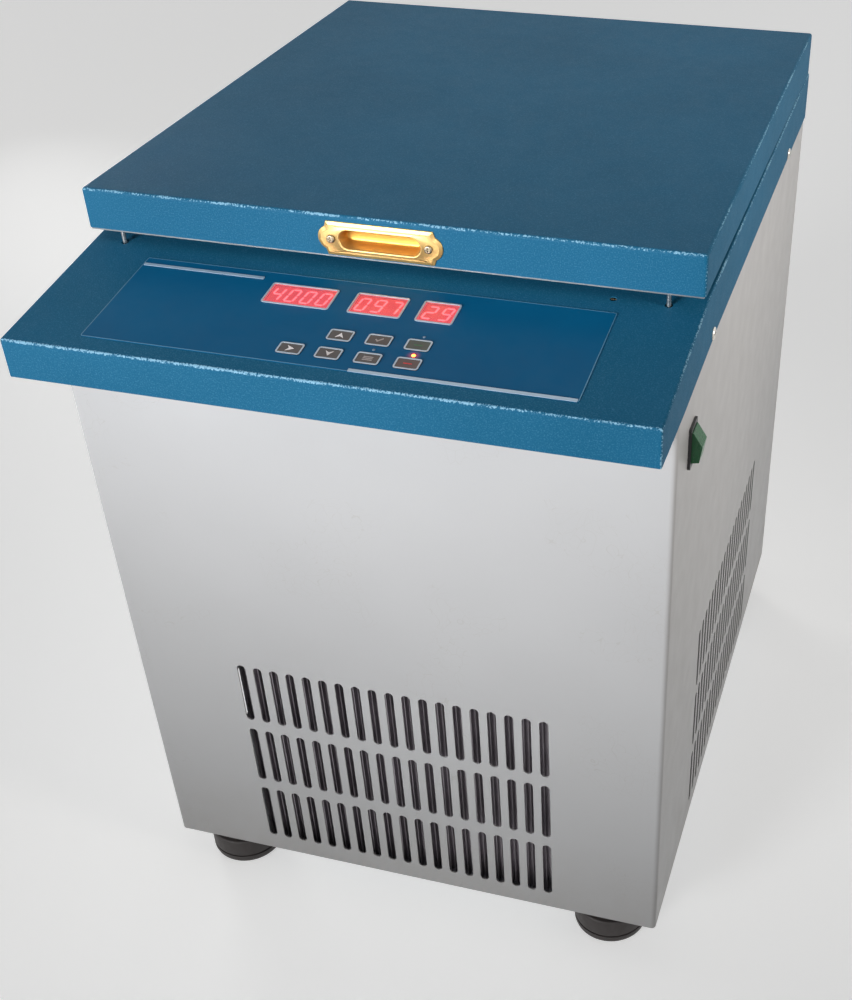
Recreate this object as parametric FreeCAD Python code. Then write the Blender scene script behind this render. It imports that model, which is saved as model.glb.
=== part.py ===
import FreeCAD, Part
import math
import os
from FreeCAD import Placement, Rotation, Vector

os.makedirs("parts", exist_ok=True)

# Sizes are in millimetres. X runs to the right, Y to the back and Z up. The origin is on the floor,
# under the middle of the instrument's footprint.

# Cabinet
CABINET_WIDTH = 557.0
CABINET_DEPTH = 700.0
BODY_HEIGHT = 682.0        # from the cabinet's lower edge up to the deck
SHEET = 1.5                # panels, cowl and lid
CORNER_RADIUS = 5.0
CORNER_RETURN = 9.0        # how far the front panel turns round each corner
BASE_THICKNESS = 3.0
POST_LEG = 30.0
POST_WALL = 4.0
FOOT_HEIGHT = 45.0
FOOT_RADIUS = 40.0
FOOT_INSET_X = 58.5        # from the cabinet's side to the middle of a foot
FOOT_INSET_Y = 41.0
FOOT_EDGE = 3.0
FOOT_GROOVE_RISE = 12.6
FOOT_GROOVE_WIDTH = 2.7
FOOT_GROOVE_DEPTH = 2.0
FOOT_NECK_HEIGHT = 9.0
FOOT_NECK_DEPTH = 5.0

# Ventilation slots
SLOT_WIDTH = 9.4
SLOT_HEIGHT = 75.0
SLOT_PITCH = 17.8
SLOT_ROW_PITCH = 87.8
SLOT_ROW_COUNT = 3
LOWEST_SLOT_ROW = 59.2     # middle of the lowest row above the cabinet's lower edge
FRONT_SLOT_COUNT = 19
SIDE_SLOT_COUNT = 20
SIDE_SLOT_SHIFT = 5.3      # the side slots' middle, in front of the middle of the cabinet

# Cowl: deck, sloping console and flanges, folded from one sheet
CONSOLE_OVERHANG = 70.0
SLOPE_LENGTH = 174.8
SLOPE_ANGLE = 7.3
LIP_HEIGHT = 35.0
FLANGE_HEIGHT = 50.0
FLANGE_BEND_FRONT = 83.8   # behind the lip, where the flange's edge starts to rise
FLANGE_BEND_BACK = 226.2
COWL_EDGE_RADIUS = 2.0
PANEL_OVERLAP = 26.0       # how far the side panels stand up inside the flanges
FRONT_OVERLAP = 15.0

# Lid
LID_OVERHANG = 18.4        # how far the lid stands out over the slope
LID_SETBACK = 8.0          # from the cabinet's back to the lid's back
LID_RISE = 47.0            # from the deck to the lid's top
LID_GAP_FRONT = 10.5
LID_GAP_BACK = 2.5
LID_EDGE_RADIUS = 3.0
PAN_DISC_RADIUS = 195.0
PAN_DISC_DROP = 6.0

# Lid hinges
HINGE_X = 190.0
HINGE_LENGTH = 80.0
KNUCKLE_RADIUS = 5.0
HINGE_PIN_RADIUS = 2.5
LEAF_THICKNESS = 2.0
LEAF_HEIGHT = 30.0
KNUCKLE_COUNT = 5

# Pull handle, sunk in the lid's front skirt
HANDLE_STRAIGHT = 96.0
HANDLE_LENGTH = 112.6
HANDLE_HEIGHT = 30.0
HANDLE_PLATE = 2.5
HANDLE_DROP = 20.5         # from the lid's top to the handle's middle
RECESS_LENGTH = 73.0
RECESS_HEIGHT = 16.0
RECESS_DEPTH = 14.0
RECESS_WALL = 1.2
HANDLE_SCREW_SPACING = 88.0

# Chamber
CHAMBER_SHIFT = 12.7       # from the middle of the deck forward to the rotor's axis
BOWL_DEPTH = 195.0
BOWL_WALL = 1.5
BOWL_CORNER = 25.0
BOWL_FLANGE = 24.0
BOWL_HOLE_RADIUS = 36.0
MOUTH_STEP = 2.0           # the deck's round mouth stands this far outside the bowl
GASKET_WIDTH = 16.0
GASKET_HEIGHT = 8.2
COIL_TUBE_RADIUS = 4.5
COIL_TURNS = 8
COIL_PITCH = 19.0
COIL_RISE = 10.0           # from the bowl's floor up to the coil
GUARD_WALL = 6.0
GUARD_DROP = 6.0           # from the deck down to the guard and the foam
INSULATION_GAP = 6.0       # from the foam round the chamber to what stands nearest
PAD_THICKNESS = 27.0
SHELF_SHEET = 2.5
SHELF_FLANGE = 30.0

# Rotor and its four swing-out buckets
BUCKET_COUNT = 4
TRUNNION_RADIUS = 105.0    # from the axis to a bucket's pivot
BUCKET_RADIUS = 34.0
BUCKET_DROP = 92.0         # from the pivot to the bucket's floor
BUCKET_RISE = 22.0
BUCKET_WALL = 1.8
BUCKET_FLOOR = 3.0
BUCKET_RIM = 3.0
BOSS_RADIUS = 10.0
BOSS_LENGTH = 8.0
PIN_RADIUS = 5.0
PIN_START = 2.8            # from a bucket's wall out to the pins' ends
SWING_GAP = 13.0           # from a swung-out bucket to the bowl
FLOOR_GAP = 17.5           # from a hanging bucket to the bowl's floor
YOKE_THICKNESS = 26.0
YOKE_REACH = 26.0          # arm metal outside the pivots
HUB_RADIUS = 30.0
HUB_RISE = 20.0
NUT_RADIUS = 17.0
NUT_HEIGHT = 22.0
NUT_EDGE = 6.0

# Motor
MOTOR_RADIUS = 80.0
MOTOR_LENGTH = 200.0
MOTOR_END = 15.0
STATOR_BORE = 36.0
ARMATURE_GAP = 1.5
SHAFT_RADIUS = 9.0
SHAFT_SHOULDER = 5.0       # how far the rotor's seat stands out round the shaft
SHAFT_SHOULDER_HEIGHT = 8.0
THREAD_RADIUS = 5.85
THREAD_LENGTH = 15.4
BEARING_RADIUS = 22.0
BEARING_WIDTH = 12.0
MOTOR_PLATE_WIDTH = 240.0
MOTOR_PLATE_THICKNESS = 8.0
MOUNT_RADIUS = 15.0
MOUNT_HEIGHT = 20.0
MOUNT_SPACING = 190.0
SHAFT_WAY_RADIUS = 37.0    # holes in the shelf and the foam under the bowl
BOOT_COLLAR_RISE = 26.0
BOOT_WALL = 4.0

# Cooling machinery
CONDENSER_WIDTH = 340.0
CONDENSER_HEIGHT = 282.0
CONDENSER_DEPTH = 44.0
CONDENSER_GAP = 12.0       # behind the front panel
FIN_PITCH = 5.0
FIN_THICKNESS = 0.8
FIN_DEPTH = 8.0
SHROUD_SHEET = 2.0
FAN_RADIUS = 116.0
FAN_HUB_RADIUS = 28.0
FAN_WIDTH = 26.0
FAN_TIP_GAP = 6.0
BLADE_COUNT = 5
BLADE_THICKNESS = 2.5
BLADE_CHORD = 62.0
BLADE_PITCH = 24.0
FAN_HEIGHT = 142.0         # fan's axis above the base plate
FAN_SHAFT_RADIUS = 4.0
FAN_MOTOR_RADIUS = 36.0
FAN_MOTOR_LENGTH = 60.0
STAND_WIDTH = 44.0
STAND_SHEET = 6.0
SHOE_LENGTH = 40.0
COMPRESSOR_RADIUS = 85.0
COMPRESSOR_HEIGHT = 200.0
COMPRESSOR_X = -150.0
COMPRESSOR_BACKSET = 118.0
COMPRESSOR_DOME = 30.0
GROMMET_HEIGHT = 14.0
GROMMET_RADIUS = 12.0
LINE_RADIUS = 4.5
LINE_BEND = 24.0
LINE_RISE = 42.0           # the liquid line above the base plate
LINE_SETOFF = 10.0         # the lines' uprights in front of the compressor's middle
PORT_RISE = 12.0           # stub pipes above the compressor's dome
PORT_SHIFT = 30.0          # the discharge pipe to the right of the compressor's middle
STUB_LENGTH = 8.0
DRIER_RADIUS = 12.0
DRIER_LENGTH = 100.0

# Motor drive
DRIVE_WIDTH = 120.0
DRIVE_DEPTH = 180.0
DRIVE_HEIGHT = 190.0
DRIVE_X = 130.0
DRIVE_BACKSET = 135.0
DRIVE_FIN_COUNT = 12
DRIVE_FIN_HEIGHT = 18.0
DRIVE_FIN_THICKNESS = 2.0
DRIVE_FIN_INSET = 4.0

# Console, in slope coordinates: across, up the slope from the front fold, and out of its surface
OVERLAY_LEFT = -215.0
OVERLAY_RIGHT = 211.0
OVERLAY_LOW = 18.0
OVERLAY_HIGH = 140.0
OVERLAY_THICKNESS = 0.5
OVERLAY_CORNER = 3.0
BOARD_DEPTH = 12.5         # from the slope's surface down to the board
BOARD_THICKNESS = 1.6
BOARD_MARGIN = 14.0
DIGIT_PITCH = 14.1
DIGIT_HEIGHT = 19.0
DIGIT_WIDTH = 9.6
DIGIT_STROKE = 1.9
DIGIT_SLANT = 8.0
SEGMENT_THICKNESS = 0.2
DISPLAY_MIDDLE = 109.75
DISPLAY_HEIGHT = 27.5
DISPLAY_BORDER = 1.2
DISPLAYS = ((-57.0, "4000"), (13.5, "097"), (66.2, "29"))
KEY_WIDTH = 20.5
KEY_DEPTH = 14.0
KEY_CORNER = 2.2
KEY_GAP = 0.3
KEY_PROUD = 0.5
KEY_TRAVEL = 0.4
KEY_COLUMNS = (-34.9, -1.5, 32.0, 65.7)
KEY_ROW_LOW = 37.1
KEY_ROW_HIGH = 62.4
SWITCH_SIZE = 6.0
SWITCH_HEIGHT = 4.5
LAMPS = ((66.5, 48.8), (66.3, 74.7), (32.3, 49.6))
LAMP_RADIUS = 1.5
STUD_RADIUS = 3.0

# Lid lock
STRIKER_INSET = 31.0       # from the cowl's side
STRIKER_RADIUS = 2.0
STRIKER_SETBACK = 3.7      # behind the lid's front face
STRIKER_DROP = 27.0        # below the deck
STRIKER_NECK = 1.3
NECK_LENGTH = 5.0
STRIKER_HOLE_RADIUS = 3.4
LOCK_BAR_WIDTH = 14.0
LOCK_BAR_THICKNESS = 2.0
LOCK_TRAVEL = 7.0
LOCK_CLEARANCE = 0.9
LOCK_BAR_END = 6.0         # bar beyond each keyhole
GUIDE_X = 150.0
PLUNGER_RADIUS = 4.0
SOLENOID_LENGTH = 46.0
SOLENOID_SIZE = 24.0
RELEASE_INSET = 78.0       # from the cowl's right side
RELEASE_RADIUS = 3.0

# Power switch in the right panel
SWITCH_SETBACK = 60.0      # from the cabinet's front to the switch's middle
SWITCH_DROP = 62.0         # from the flange's edge down to the switch's middle
BEZEL_WIDTH = 26.0
BEZEL_HEIGHT = 40.0
BEZEL_THICKNESS = 2.5
BEZEL_BODY_WIDTH = 22.0
BEZEL_BODY_HEIGHT = 36.0
BEZEL_BODY_DEPTH = 24.0
ROCKER_WIDTH = 18.8
ROCKER_HALF = 14.6
ROCKER_RIDGE = 11.5
ROCKER_TILT = 12.0
ROCKER_GAP = 0.3
ROCKER_PIN_RADIUS = 1.5
PIN_HOLD = 1.0             # how far the rocker's pin reaches into the bezel's walls
BEZEL_WALL = 1.8

# Power inlet in the rear panel
INLET_INSET = 88.5         # from the cabinet's side
INLET_RISE = 70.0
INLET_WIDTH = 50.0
INLET_HEIGHT = 30.0
INLET_FLANGE = 3.0
INLET_BODY_WIDTH = 36.0
INLET_BODY_HEIGHT = 24.0
INLET_BODY_DEPTH = 26.0
SOCKET_WIDTH = 24.5
SOCKET_HEIGHT = 16.8
SOCKET_DEPTH = 16.0
SOCKET_CORNER = 4.0
BLADE_LENGTH = 9.0
BLADE_PLACES = ((-7.0, -2.0), (7.0, -2.0), (0.0, 2.0))

# Screws
SCREW_HEAD_RADIUS = 3.6
SCREW_HEAD_HEIGHT = 2.2
SCREW_RADIUS = 2.0
SCREW_LENGTH = 8.0
SCREW_GAP = 0.1
COWL_SCREW_HEAD = 5.7
COWL_SCREW_FRONT = 199.5   # behind the lip
COWL_SCREW_BACK = 138.4    # in front of the cabinet's back
COWL_SCREW_RISE = 6.4

RUNNING_GAP = 0.05         # radial, round every turning pin and shaft
SEAT_GAP = 0.3             # between a moving piece and what it rests on

# Places worked out from the sizes
side_x = CABINET_WIDTH / 2
cowl_x = side_x + SHEET
front_y = -(CONSOLE_OVERHANG + CABINET_DEPTH + SHEET + LEAF_THICKNESS) / 2
cabinet_front = front_y + CONSOLE_OVERHANG
cabinet_back = cabinet_front + CABINET_DEPTH
cabinet_middle = (cabinet_front + cabinet_back) / 2
base_z = FOOT_HEIGHT
base_top = base_z + BASE_THICKNESS
deck_z = base_z + BODY_HEIGHT
deck_under = deck_z - SHEET
slope = math.radians(SLOPE_ANGLE)
fold_z = deck_z - SLOPE_LENGTH * math.sin(slope)
slope_top_y = front_y + SLOPE_LENGTH * math.cos(slope)
lip_z = fold_z - LIP_HEIGHT
flange_z = deck_z - FLANGE_HEIGHT
panel_top = flange_z + PANEL_OVERLAP
front_panel_top = lip_z + FRONT_OVERLAP
lid_back = cabinet_back - LID_SETBACK
lid_front = slope_top_y - LID_OVERHANG
lid_top = deck_z + LID_RISE
pan_z = deck_z + GASKET_HEIGHT + SEAT_GAP
handle_z = lid_top - HANDLE_DROP
striker_x = cowl_x - STRIKER_INSET
release_x = cowl_x - RELEASE_INSET
axis_y = (slope_top_y + cabinet_back) / 2 - CHAMBER_SHIFT
bowl_radius = TRUNNION_RADIUS + BUCKET_DROP + SWING_GAP
bowl_floor = deck_under - BOWL_DEPTH
bowl_seam = bowl_floor + BOWL_CORNER
mouth_radius = bowl_radius + MOUTH_STEP
coil_radius = bowl_radius + BOWL_WALL + COIL_TUBE_RADIUS + SEAT_GAP
guard_radius = coil_radius + COIL_TUBE_RADIUS + MOUTH_STEP
shelf_top = bowl_floor - BOWL_WALL - PAD_THICKNESS
shelf_under = shelf_top - SHELF_SHEET
motor_plate_top = shelf_under - MOUNT_HEIGHT
motor_top = motor_plate_top - MOTOR_PLATE_THICKNESS
motor_bottom = motor_top - MOTOR_LENGTH
pivot_z = bowl_floor + FLOOR_GAP + BUCKET_DROP
coil_bottom = bowl_floor + COIL_TUBE_RADIUS + COIL_RISE
coil_top = coil_bottom + COIL_PITCH * (COIL_TURNS + 0.5)
hinge_y = cabinet_back + SHEET + LEAF_THICKNESS - KNUCKLE_RADIUS
hinge_z = deck_z + KNUCKLE_RADIUS + 1
condenser_front = cabinet_front + SHEET + CONDENSER_GAP
shroud_y = condenser_front + CONDENSER_DEPTH
fan_z = base_top + FAN_HEIGHT
fan_y = shroud_y + SHROUD_SHEET + FAN_WIDTH / 2
compressor_y = cabinet_back - COMPRESSOR_BACKSET
line_y = compressor_y - LINE_SETOFF
line_z = base_top + LINE_RISE
discharge_x = COMPRESSOR_X + PORT_SHIFT
lock_y = lid_front + STRIKER_SETBACK
lock_room = axis_y - lock_y - max(SOLENOID_SIZE, LOCK_BAR_WIDTH) / 2
line_room = math.hypot(coil_radius, line_y - LINE_BEND - axis_y) - LINE_RADIUS
jacket_radius = min(side_x - SHEET, lock_room, line_room) - INSULATION_GAP


# Basic shapes

def box(x0, x1, y0, y1, z0, z1):
    return Part.makeBox(x1 - x0, y1 - y0, z1 - z0, Vector(x0, y0, z0))


def rod(start, end, radius):
    start, end = Vector(*start), Vector(*end)
    return Part.makeCylinder(radius, (end - start).Length, start, end - start)


def disc(radius, z0, z1, x=0.0, y=0.0):
    return Part.makeCylinder(radius, z1 - z0, Vector(x, y, z0))


def ring(inner, outer, z0, z1, x=0.0, y=0.0):
    return disc(outer, z0, z1, x, y).cut(disc(inner, z0, z1, x, y))


def join(shapes):
    whole = shapes[0].fuse(list(shapes[1:]))
    return whole.removeSplitter()


def group(shapes):
    return Part.makeCompound([solid for shape in shapes for solid in shape.Solids])


def outline(points):
    return Part.Face(Part.makePolygon([Vector(*p) for p in points] + [Vector(*points[0])]))


def side_profile(points, x0, x1):
    """A (y, z) outline drawn out from x0 to x1."""
    return outline([(x0, y, z) for y, z in points]).extrude(Vector(x1 - x0, 0, 0))


def rounded_plate(width, height, radius, z0, z1, x=0.0, y=0.0):
    """A rectangle with round corners, centred on x and y."""
    plate = box(x - width / 2, x + width / 2, y - height / 2, y + height / 2, z0, z1)
    upright = [e for e in plate.Edges if abs(e.Vertexes[0].Z - e.Vertexes[1].Z) > 1e-6]
    return plate.makeFillet(radius, upright)


def fillet_where(shape, radius, wanted):
    return shape.makeFillet(radius, [edge for edge in shape.Edges if wanted(edge)])


def turned(shape, degrees, axis=(0, 0, 1), about=(0, 0, 0)):
    copy = shape.copy()
    copy.rotate(Vector(*about), Vector(*axis), degrees)
    return copy


def moved(shape, x=0.0, y=0.0, z=0.0):
    copy = shape.copy()
    copy.translate(Vector(x, y, z))
    return copy


def on_slope(shape):
    """Carries a shape drawn flat, as across, up and out, to its place on the sloping console."""
    copy = shape.copy()
    place = Placement(Vector(0, front_y, fold_z), Rotation(Vector(1, 0, 0), SLOPE_ANGLE))
    copy.Placement = place.multiply(copy.Placement)
    return copy


def bent_tube(points, radius, bend):
    """A tube of straight runs joined by tangent arcs."""
    points = [Vector(*p) for p in points]
    edges, start = [], points[0]
    for before, corner, after in zip(points, points[1:], points[2:]):
        way_in, way_out = (corner - before).normalize(), (after - corner).normalize()
        turn = way_in.getAngle(way_out)
        back = bend * math.tan(turn / 2)
        first, last = corner - way_in * back, corner + way_out * back
        middle = corner + (way_out - way_in).normalize() * bend * (1 / math.cos(turn / 2) - 1)
        edges.append(Part.LineSegment(start, first).toShape())
        edges.append(Part.Arc(first, middle, last).toShape())
        start = last
    edges.append(Part.LineSegment(start, points[-1]).toShape())
    path = Part.Wire(edges)
    section = Part.Wire(Part.makeCircle(radius, points[0], points[1] - points[0]))
    return path.makePipeShell([section], True, False)


def pan_screw(place, direction, head_radius=SCREW_HEAD_RADIUS):
    """A domed screw on a surface at place, with its head towards direction."""
    head = disc(head_radius, 0, SCREW_HEAD_HEIGHT)
    head = fillet_where(head, SCREW_HEAD_HEIGHT * 0.6, lambda e: e.BoundBox.ZMin > 0.1)
    arm = head_radius * 0.55
    groove = SCREW_HEAD_RADIUS * 0.13
    deep = SCREW_HEAD_HEIGHT * 0.45
    for across in (0, 90):
        cut = box(-arm, arm, -groove, groove, deep, SCREW_HEAD_HEIGHT + 1)
        head = head.cut(turned(cut, across))
    screw = join([head, disc(SCREW_RADIUS, -SCREW_LENGTH, 0)])
    screw.Placement = Placement(Vector(*place), Rotation(Vector(0, 0, 1), Vector(*direction)))
    return screw


def screw_holes(shape, places, direction):
    """Clears the shanks of screws that stand at places."""
    back = Vector(*direction) * -1
    for place in places:
        start = Vector(*place) - back
        shape = shape.cut(Part.makeCylinder(SCREW_RADIUS + SCREW_GAP, SCREW_LENGTH + 2, start, back))
    return shape


# Screw places

def cowl_screw_places(side):
    z = flange_z + COWL_SCREW_RISE
    return [(side * cowl_x, y, z) for y in (front_y + COWL_SCREW_FRONT, cabinet_back - COWL_SCREW_BACK)]


def rear_screw_places():
    x = side_x - SHEET - POST_LEG / 2
    low, high = base_z + 60, flange_z - 30
    heights = [low + (high - low) * step / 3 for step in range(4)]
    return [(side * x, cabinet_back, z) for side in (-1, 1) for z in heights]


def handle_screw_places():
    return [(side * HANDLE_SCREW_SPACING / 2, lid_front - HANDLE_PLATE, handle_z) for side in (-1, 1)]


def hinge_screw_places(back, z):
    spread = HINGE_LENGTH / 3
    return [(middle + across, back, z) for middle in (-HINGE_X, HINGE_X) for across in (-spread, spread)]


fixed_leaf_screws = hinge_screw_places(cabinet_back + SHEET + LEAF_THICKNESS,
                                       hinge_z - KNUCKLE_RADIUS - LEAF_HEIGHT / 2)
moving_leaf_screws = hinge_screw_places(lid_back + LEAF_THICKNESS,
                                        hinge_z + KNUCKLE_RADIUS + LEAF_HEIGHT / 2)
BACKWARDS = (0, 1, 0)
FORWARDS = (0, -1, 0)


# Cabinet

def slot_rows(count, middle):
    """Upright round-ended slots in rows, drawn in the XZ plane and standing out along Y."""
    half = SLOT_WIDTH / 2
    reach = SLOT_HEIGHT / 2 - half
    slots = []
    for row in range(SLOT_ROW_COUNT):
        z = base_z + LOWEST_SLOT_ROW + row * SLOT_ROW_PITCH
        for column in range(count):
            x = middle + (column - (count - 1) / 2) * SLOT_PITCH
            left = Part.LineSegment(Vector(x - half, 0, z - reach), Vector(x - half, 0, z + reach))
            top = Part.Arc(Vector(x - half, 0, z + reach), Vector(x, 0, z + reach + half),
                           Vector(x + half, 0, z + reach))
            right = Part.LineSegment(Vector(x + half, 0, z + reach), Vector(x + half, 0, z - reach))
            low = Part.Arc(Vector(x + half, 0, z - reach), Vector(x, 0, z - reach - half),
                           Vector(x - half, 0, z - reach))
            face = Part.Face(Part.Wire([side.toShape() for side in (left, top, right, low)]))
            slots.append(moved(face.extrude(Vector(0, 4 * SHEET, 0)), y=-2 * SHEET))
    return Part.makeCompound(slots)


def front_panel():
    def shell(inset, radius):
        block = box(-side_x + inset, side_x - inset, cabinet_front + inset,
                    cabinet_front + CORNER_RETURN, base_z, front_panel_top)
        corner = cabinet_front + inset
        return fillet_where(block, radius, lambda e: e.BoundBox.YMax < corner + 1e-6
                            and e.BoundBox.ZLength > 1)
    panel = shell(0, CORNER_RADIUS).cut(shell(SHEET, CORNER_RADIUS - SHEET))
    return panel.cut(moved(slot_rows(FRONT_SLOT_COUNT, 0), y=cabinet_front))


def side_panel(side):
    x = side * side_x
    panel = box(min(x, x - side * SHEET), max(x, x - side * SHEET), cabinet_front + CORNER_RETURN,
                cabinet_back - SHEET, base_z, panel_top)
    slots = turned(slot_rows(SIDE_SLOT_COUNT, cabinet_middle - SIDE_SLOT_SHIFT), 90)
    panel = panel.cut(moved(slots, x=x))
    if side > 0:
        hole = switch_block(BEZEL_BODY_WIDTH, BEZEL_BODY_HEIGHT, -BEZEL_BODY_DEPTH, BEZEL_THICKNESS)
        panel = panel.cut(hole)
    return screw_holes(panel, cowl_screw_places(side), (side, 0, 0))


def rear_panel():
    panel = box(-side_x, side_x, cabinet_back - SHEET, cabinet_back, base_z, panel_top)
    panel = panel.cut(moved(slot_rows(FRONT_SLOT_COUNT, 0), y=cabinet_back, z=SLOT_ROW_PITCH * 1.5))
    panel = panel.cut(inlet_block(INLET_BODY_WIDTH, INLET_BODY_HEIGHT, -INLET_BODY_DEPTH, INLET_FLANGE))
    return screw_holes(panel, rear_screw_places(), BACKWARDS)


def base_plate():
    plate = box(-side_x + SHEET, side_x - SHEET, cabinet_front + SHEET, cabinet_back - SHEET,
                base_z, base_top)
    return fillet_where(plate, CORNER_RADIUS, lambda e: e.BoundBox.ZLength > 1
                        and e.BoundBox.YMax < cabinet_middle)


def corner_post(across, along, top):
    """An angle post in one corner, its bevelled edge clear of the panel's bend."""
    c, leg, wall = CORNER_RADIUS, POST_LEG, POST_WALL
    corner_x = across * (side_x - SHEET)
    corner_y = cabinet_front + SHEET if along < 0 else cabinet_back - SHEET
    shape = [(c, 0), (leg, 0), (leg, wall), (wall, wall), (wall, leg), (0, leg), (0, c)]
    points = [(corner_x - across * u, corner_y - along * v, base_top) for u, v in shape]
    return outline(points).extrude(Vector(0, 0, top - base_top))


def corner_posts():
    posts = [corner_post(across, along, panel_top if along > 0 else front_panel_top)
             for across in (-1, 1) for along in (-1, 1)]
    rear = [screw_holes(post, rear_screw_places(), BACKWARDS) for post in posts]
    return group(rear)


def chamber_shelf():
    x = side_x - SHEET - POST_WALL
    y0 = cabinet_front + SHEET + POST_WALL
    y1 = cabinet_back - SHEET - POST_WALL
    shelf = box(-x, x, y0, y1, shelf_top - SHELF_FLANGE, shelf_top)
    inside = box(-x + SHELF_SHEET, x - SHELF_SHEET, y0, y1, shelf_top - SHELF_FLANGE, shelf_under)
    shelf = shelf.cut(inside).cut(disc(SHAFT_WAY_RADIUS, shelf_under, shelf_top, 0, axis_y))
    for side in (-1, 1):
        shelf = shelf.cut(disc(LINE_RADIUS + 3, shelf_under, shelf_top, side * coil_radius, line_y))
    return shelf


def foot(x, y):
    shape = disc(FOOT_RADIUS, 0, base_z, x, y)
    shape = fillet_where(shape, FOOT_EDGE, lambda e: e.BoundBox.ZMax < 0.1
                         and e.BoundBox.XLength > FOOT_RADIUS)
    groove = ring(FOOT_RADIUS - FOOT_GROOVE_DEPTH, FOOT_RADIUS + 1, FOOT_GROOVE_RISE,
                  FOOT_GROOVE_RISE + FOOT_GROOVE_WIDTH, x, y)
    neck = ring(FOOT_RADIUS - FOOT_NECK_DEPTH, FOOT_RADIUS + 1, base_z - FOOT_NECK_HEIGHT, base_z, x, y)
    return shape.cut(groove).cut(neck)


def rubber_feet():
    x = side_x - FOOT_INSET_X
    return group([foot(side * x, y) for side in (-1, 1)
                  for y in (cabinet_front + FOOT_INSET_Y, cabinet_back - FOOT_INSET_Y)])


# Cowl

def top_cowl():
    back = cabinet_back + SHEET
    outer = [(front_y, lip_z), (front_y, fold_z), (slope_top_y, deck_z), (back, deck_z),
             (back, flange_z), (front_y + FLANGE_BEND_BACK, flange_z),
             (front_y + FLANGE_BEND_FRONT, lip_z)]
    shell = side_profile(outer, -cowl_x, cowl_x)

    def rounded(edge):
        box_ = edge.BoundBox
        low = box_.ZMin < flange_z + 1 and box_.ZMax < fold_z - 1
        across_slope_top = abs(box_.ZMin - deck_z) < 1e-6 and abs(box_.YMax - slope_top_y) < 1e-6
        return not low and not (across_slope_top and box_.XLength > cowl_x)
    shell = fillet_where(shell, COWL_EDGE_RADIUS, rounded)
    drop = SHEET * (1 / math.cos(slope) - math.tan(slope))
    bend = SHEET * math.tan(slope / 2)
    below = lip_z - SHEET
    inner = [(front_y + SHEET, below), (front_y + SHEET, fold_z - drop),
             (slope_top_y + bend, deck_under), (cabinet_back, deck_under), (cabinet_back, below)]
    shell = shell.cut(side_profile(inner, -side_x, side_x))
    shell = shell.cut(disc(mouth_radius, deck_under - 1, deck_z + 1, 0, axis_y))
    openings = [on_slope(tool) for tool in console_openings()]
    studs = [on_slope(disc(STUD_RADIUS, -BOARD_DEPTH, -SHEET, x, s)) for x, s in stud_places()]
    shell = shell.cut(openings)
    shell = join([shell] + studs)
    for side in (-1, 1):
        shell = screw_holes(shell, cowl_screw_places(side), (side, 0, 0))
    return screw_holes(shell, fixed_leaf_screws, BACKWARDS)


def console_openings():
    """What is cut through the slope: display mouths, keys, lamps, striker holes and the release."""
    low = -SHEET - 1
    tools = [rounded_plate(display_width(digits) - 2 * DISPLAY_BORDER, DISPLAY_HEIGHT - 2 * DISPLAY_BORDER,
                           1, low, 1, x, DISPLAY_MIDDLE) for x, digits in DISPLAYS]
    tools += [rounded_plate(KEY_WIDTH + 2 * KEY_GAP, KEY_DEPTH + 2 * KEY_GAP, KEY_CORNER, low, 1, x, s)
              for x, s in key_places().values()]
    tools += [disc(LAMP_RADIUS + RUNNING_GAP, low, 1, x, s) for x, s in LAMPS]
    up = striker_up()
    tools += [disc(STRIKER_HOLE_RADIUS, low, 1, side * striker_x, up) for side in (-1, 1)]
    tools.append(disc(RELEASE_RADIUS + RUNNING_GAP, low, 1, release_x, up))
    return tools


def striker_up():
    return (lock_y - front_y) / math.cos(slope)


def console_pan():
    """Closes the console from below, between the lip and the front panel."""
    return box(-side_x, side_x, front_y + SHEET, cabinet_front, lip_z, lip_z + SHEET)


# Console

def key_places():
    left, second, third, right = KEY_COLUMNS
    return {"key_right": (left, KEY_ROW_LOW), "key_down": (second, KEY_ROW_LOW),
            "key_menu": (third, KEY_ROW_LOW), "key_stop": (right, KEY_ROW_LOW),
            "key_up": (second, KEY_ROW_HIGH), "key_confirm": (third, KEY_ROW_HIGH),
            "key_start": (right, KEY_ROW_HIGH)}


def display_width(digits):
    return len(digits) * DIGIT_PITCH + 2 * DISPLAY_BORDER


def board_span():
    keys = key_places().values()
    left = min(min(x for x, s in keys), DISPLAYS[0][0] - display_width(DISPLAYS[0][1]) / 2)
    right = max(max(x for x, s in keys), DISPLAYS[-1][0] + display_width(DISPLAYS[-1][1]) / 2)
    low = KEY_ROW_LOW - KEY_DEPTH / 2
    high = DISPLAY_MIDDLE + DISPLAY_HEIGHT / 2
    return left - BOARD_MARGIN, right + BOARD_MARGIN, low - 1, high + 1


def stud_places():
    left, right, low, high = board_span()
    edge = BOARD_MARGIN / 2
    return [(x, s) for x in (left + edge, right - edge) for s in (low + edge, high - edge)]


def control_overlay():
    width, height = OVERLAY_RIGHT - OVERLAY_LEFT, OVERLAY_HIGH - OVERLAY_LOW
    sheet = rounded_plate(width, height, OVERLAY_CORNER, 0, OVERLAY_THICKNESS,
                          (OVERLAY_LEFT + OVERLAY_RIGHT) / 2, (OVERLAY_LOW + OVERLAY_HIGH) / 2)
    low, high = -1, OVERLAY_THICKNESS + 1
    tools = [rounded_plate(display_width(digits), DISPLAY_HEIGHT, 2, low, high, x, DISPLAY_MIDDLE)
             for x, digits in DISPLAYS]
    tools += [rounded_plate(KEY_WIDTH + 2 * KEY_GAP, KEY_DEPTH + 2 * KEY_GAP, KEY_CORNER, low, high, x, s)
              for x, s in key_places().values()]
    tools += [disc(LAMP_RADIUS + RUNNING_GAP, low, high, x, s) for x, s in LAMPS]
    return on_slope(sheet.cut(tools))


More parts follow.
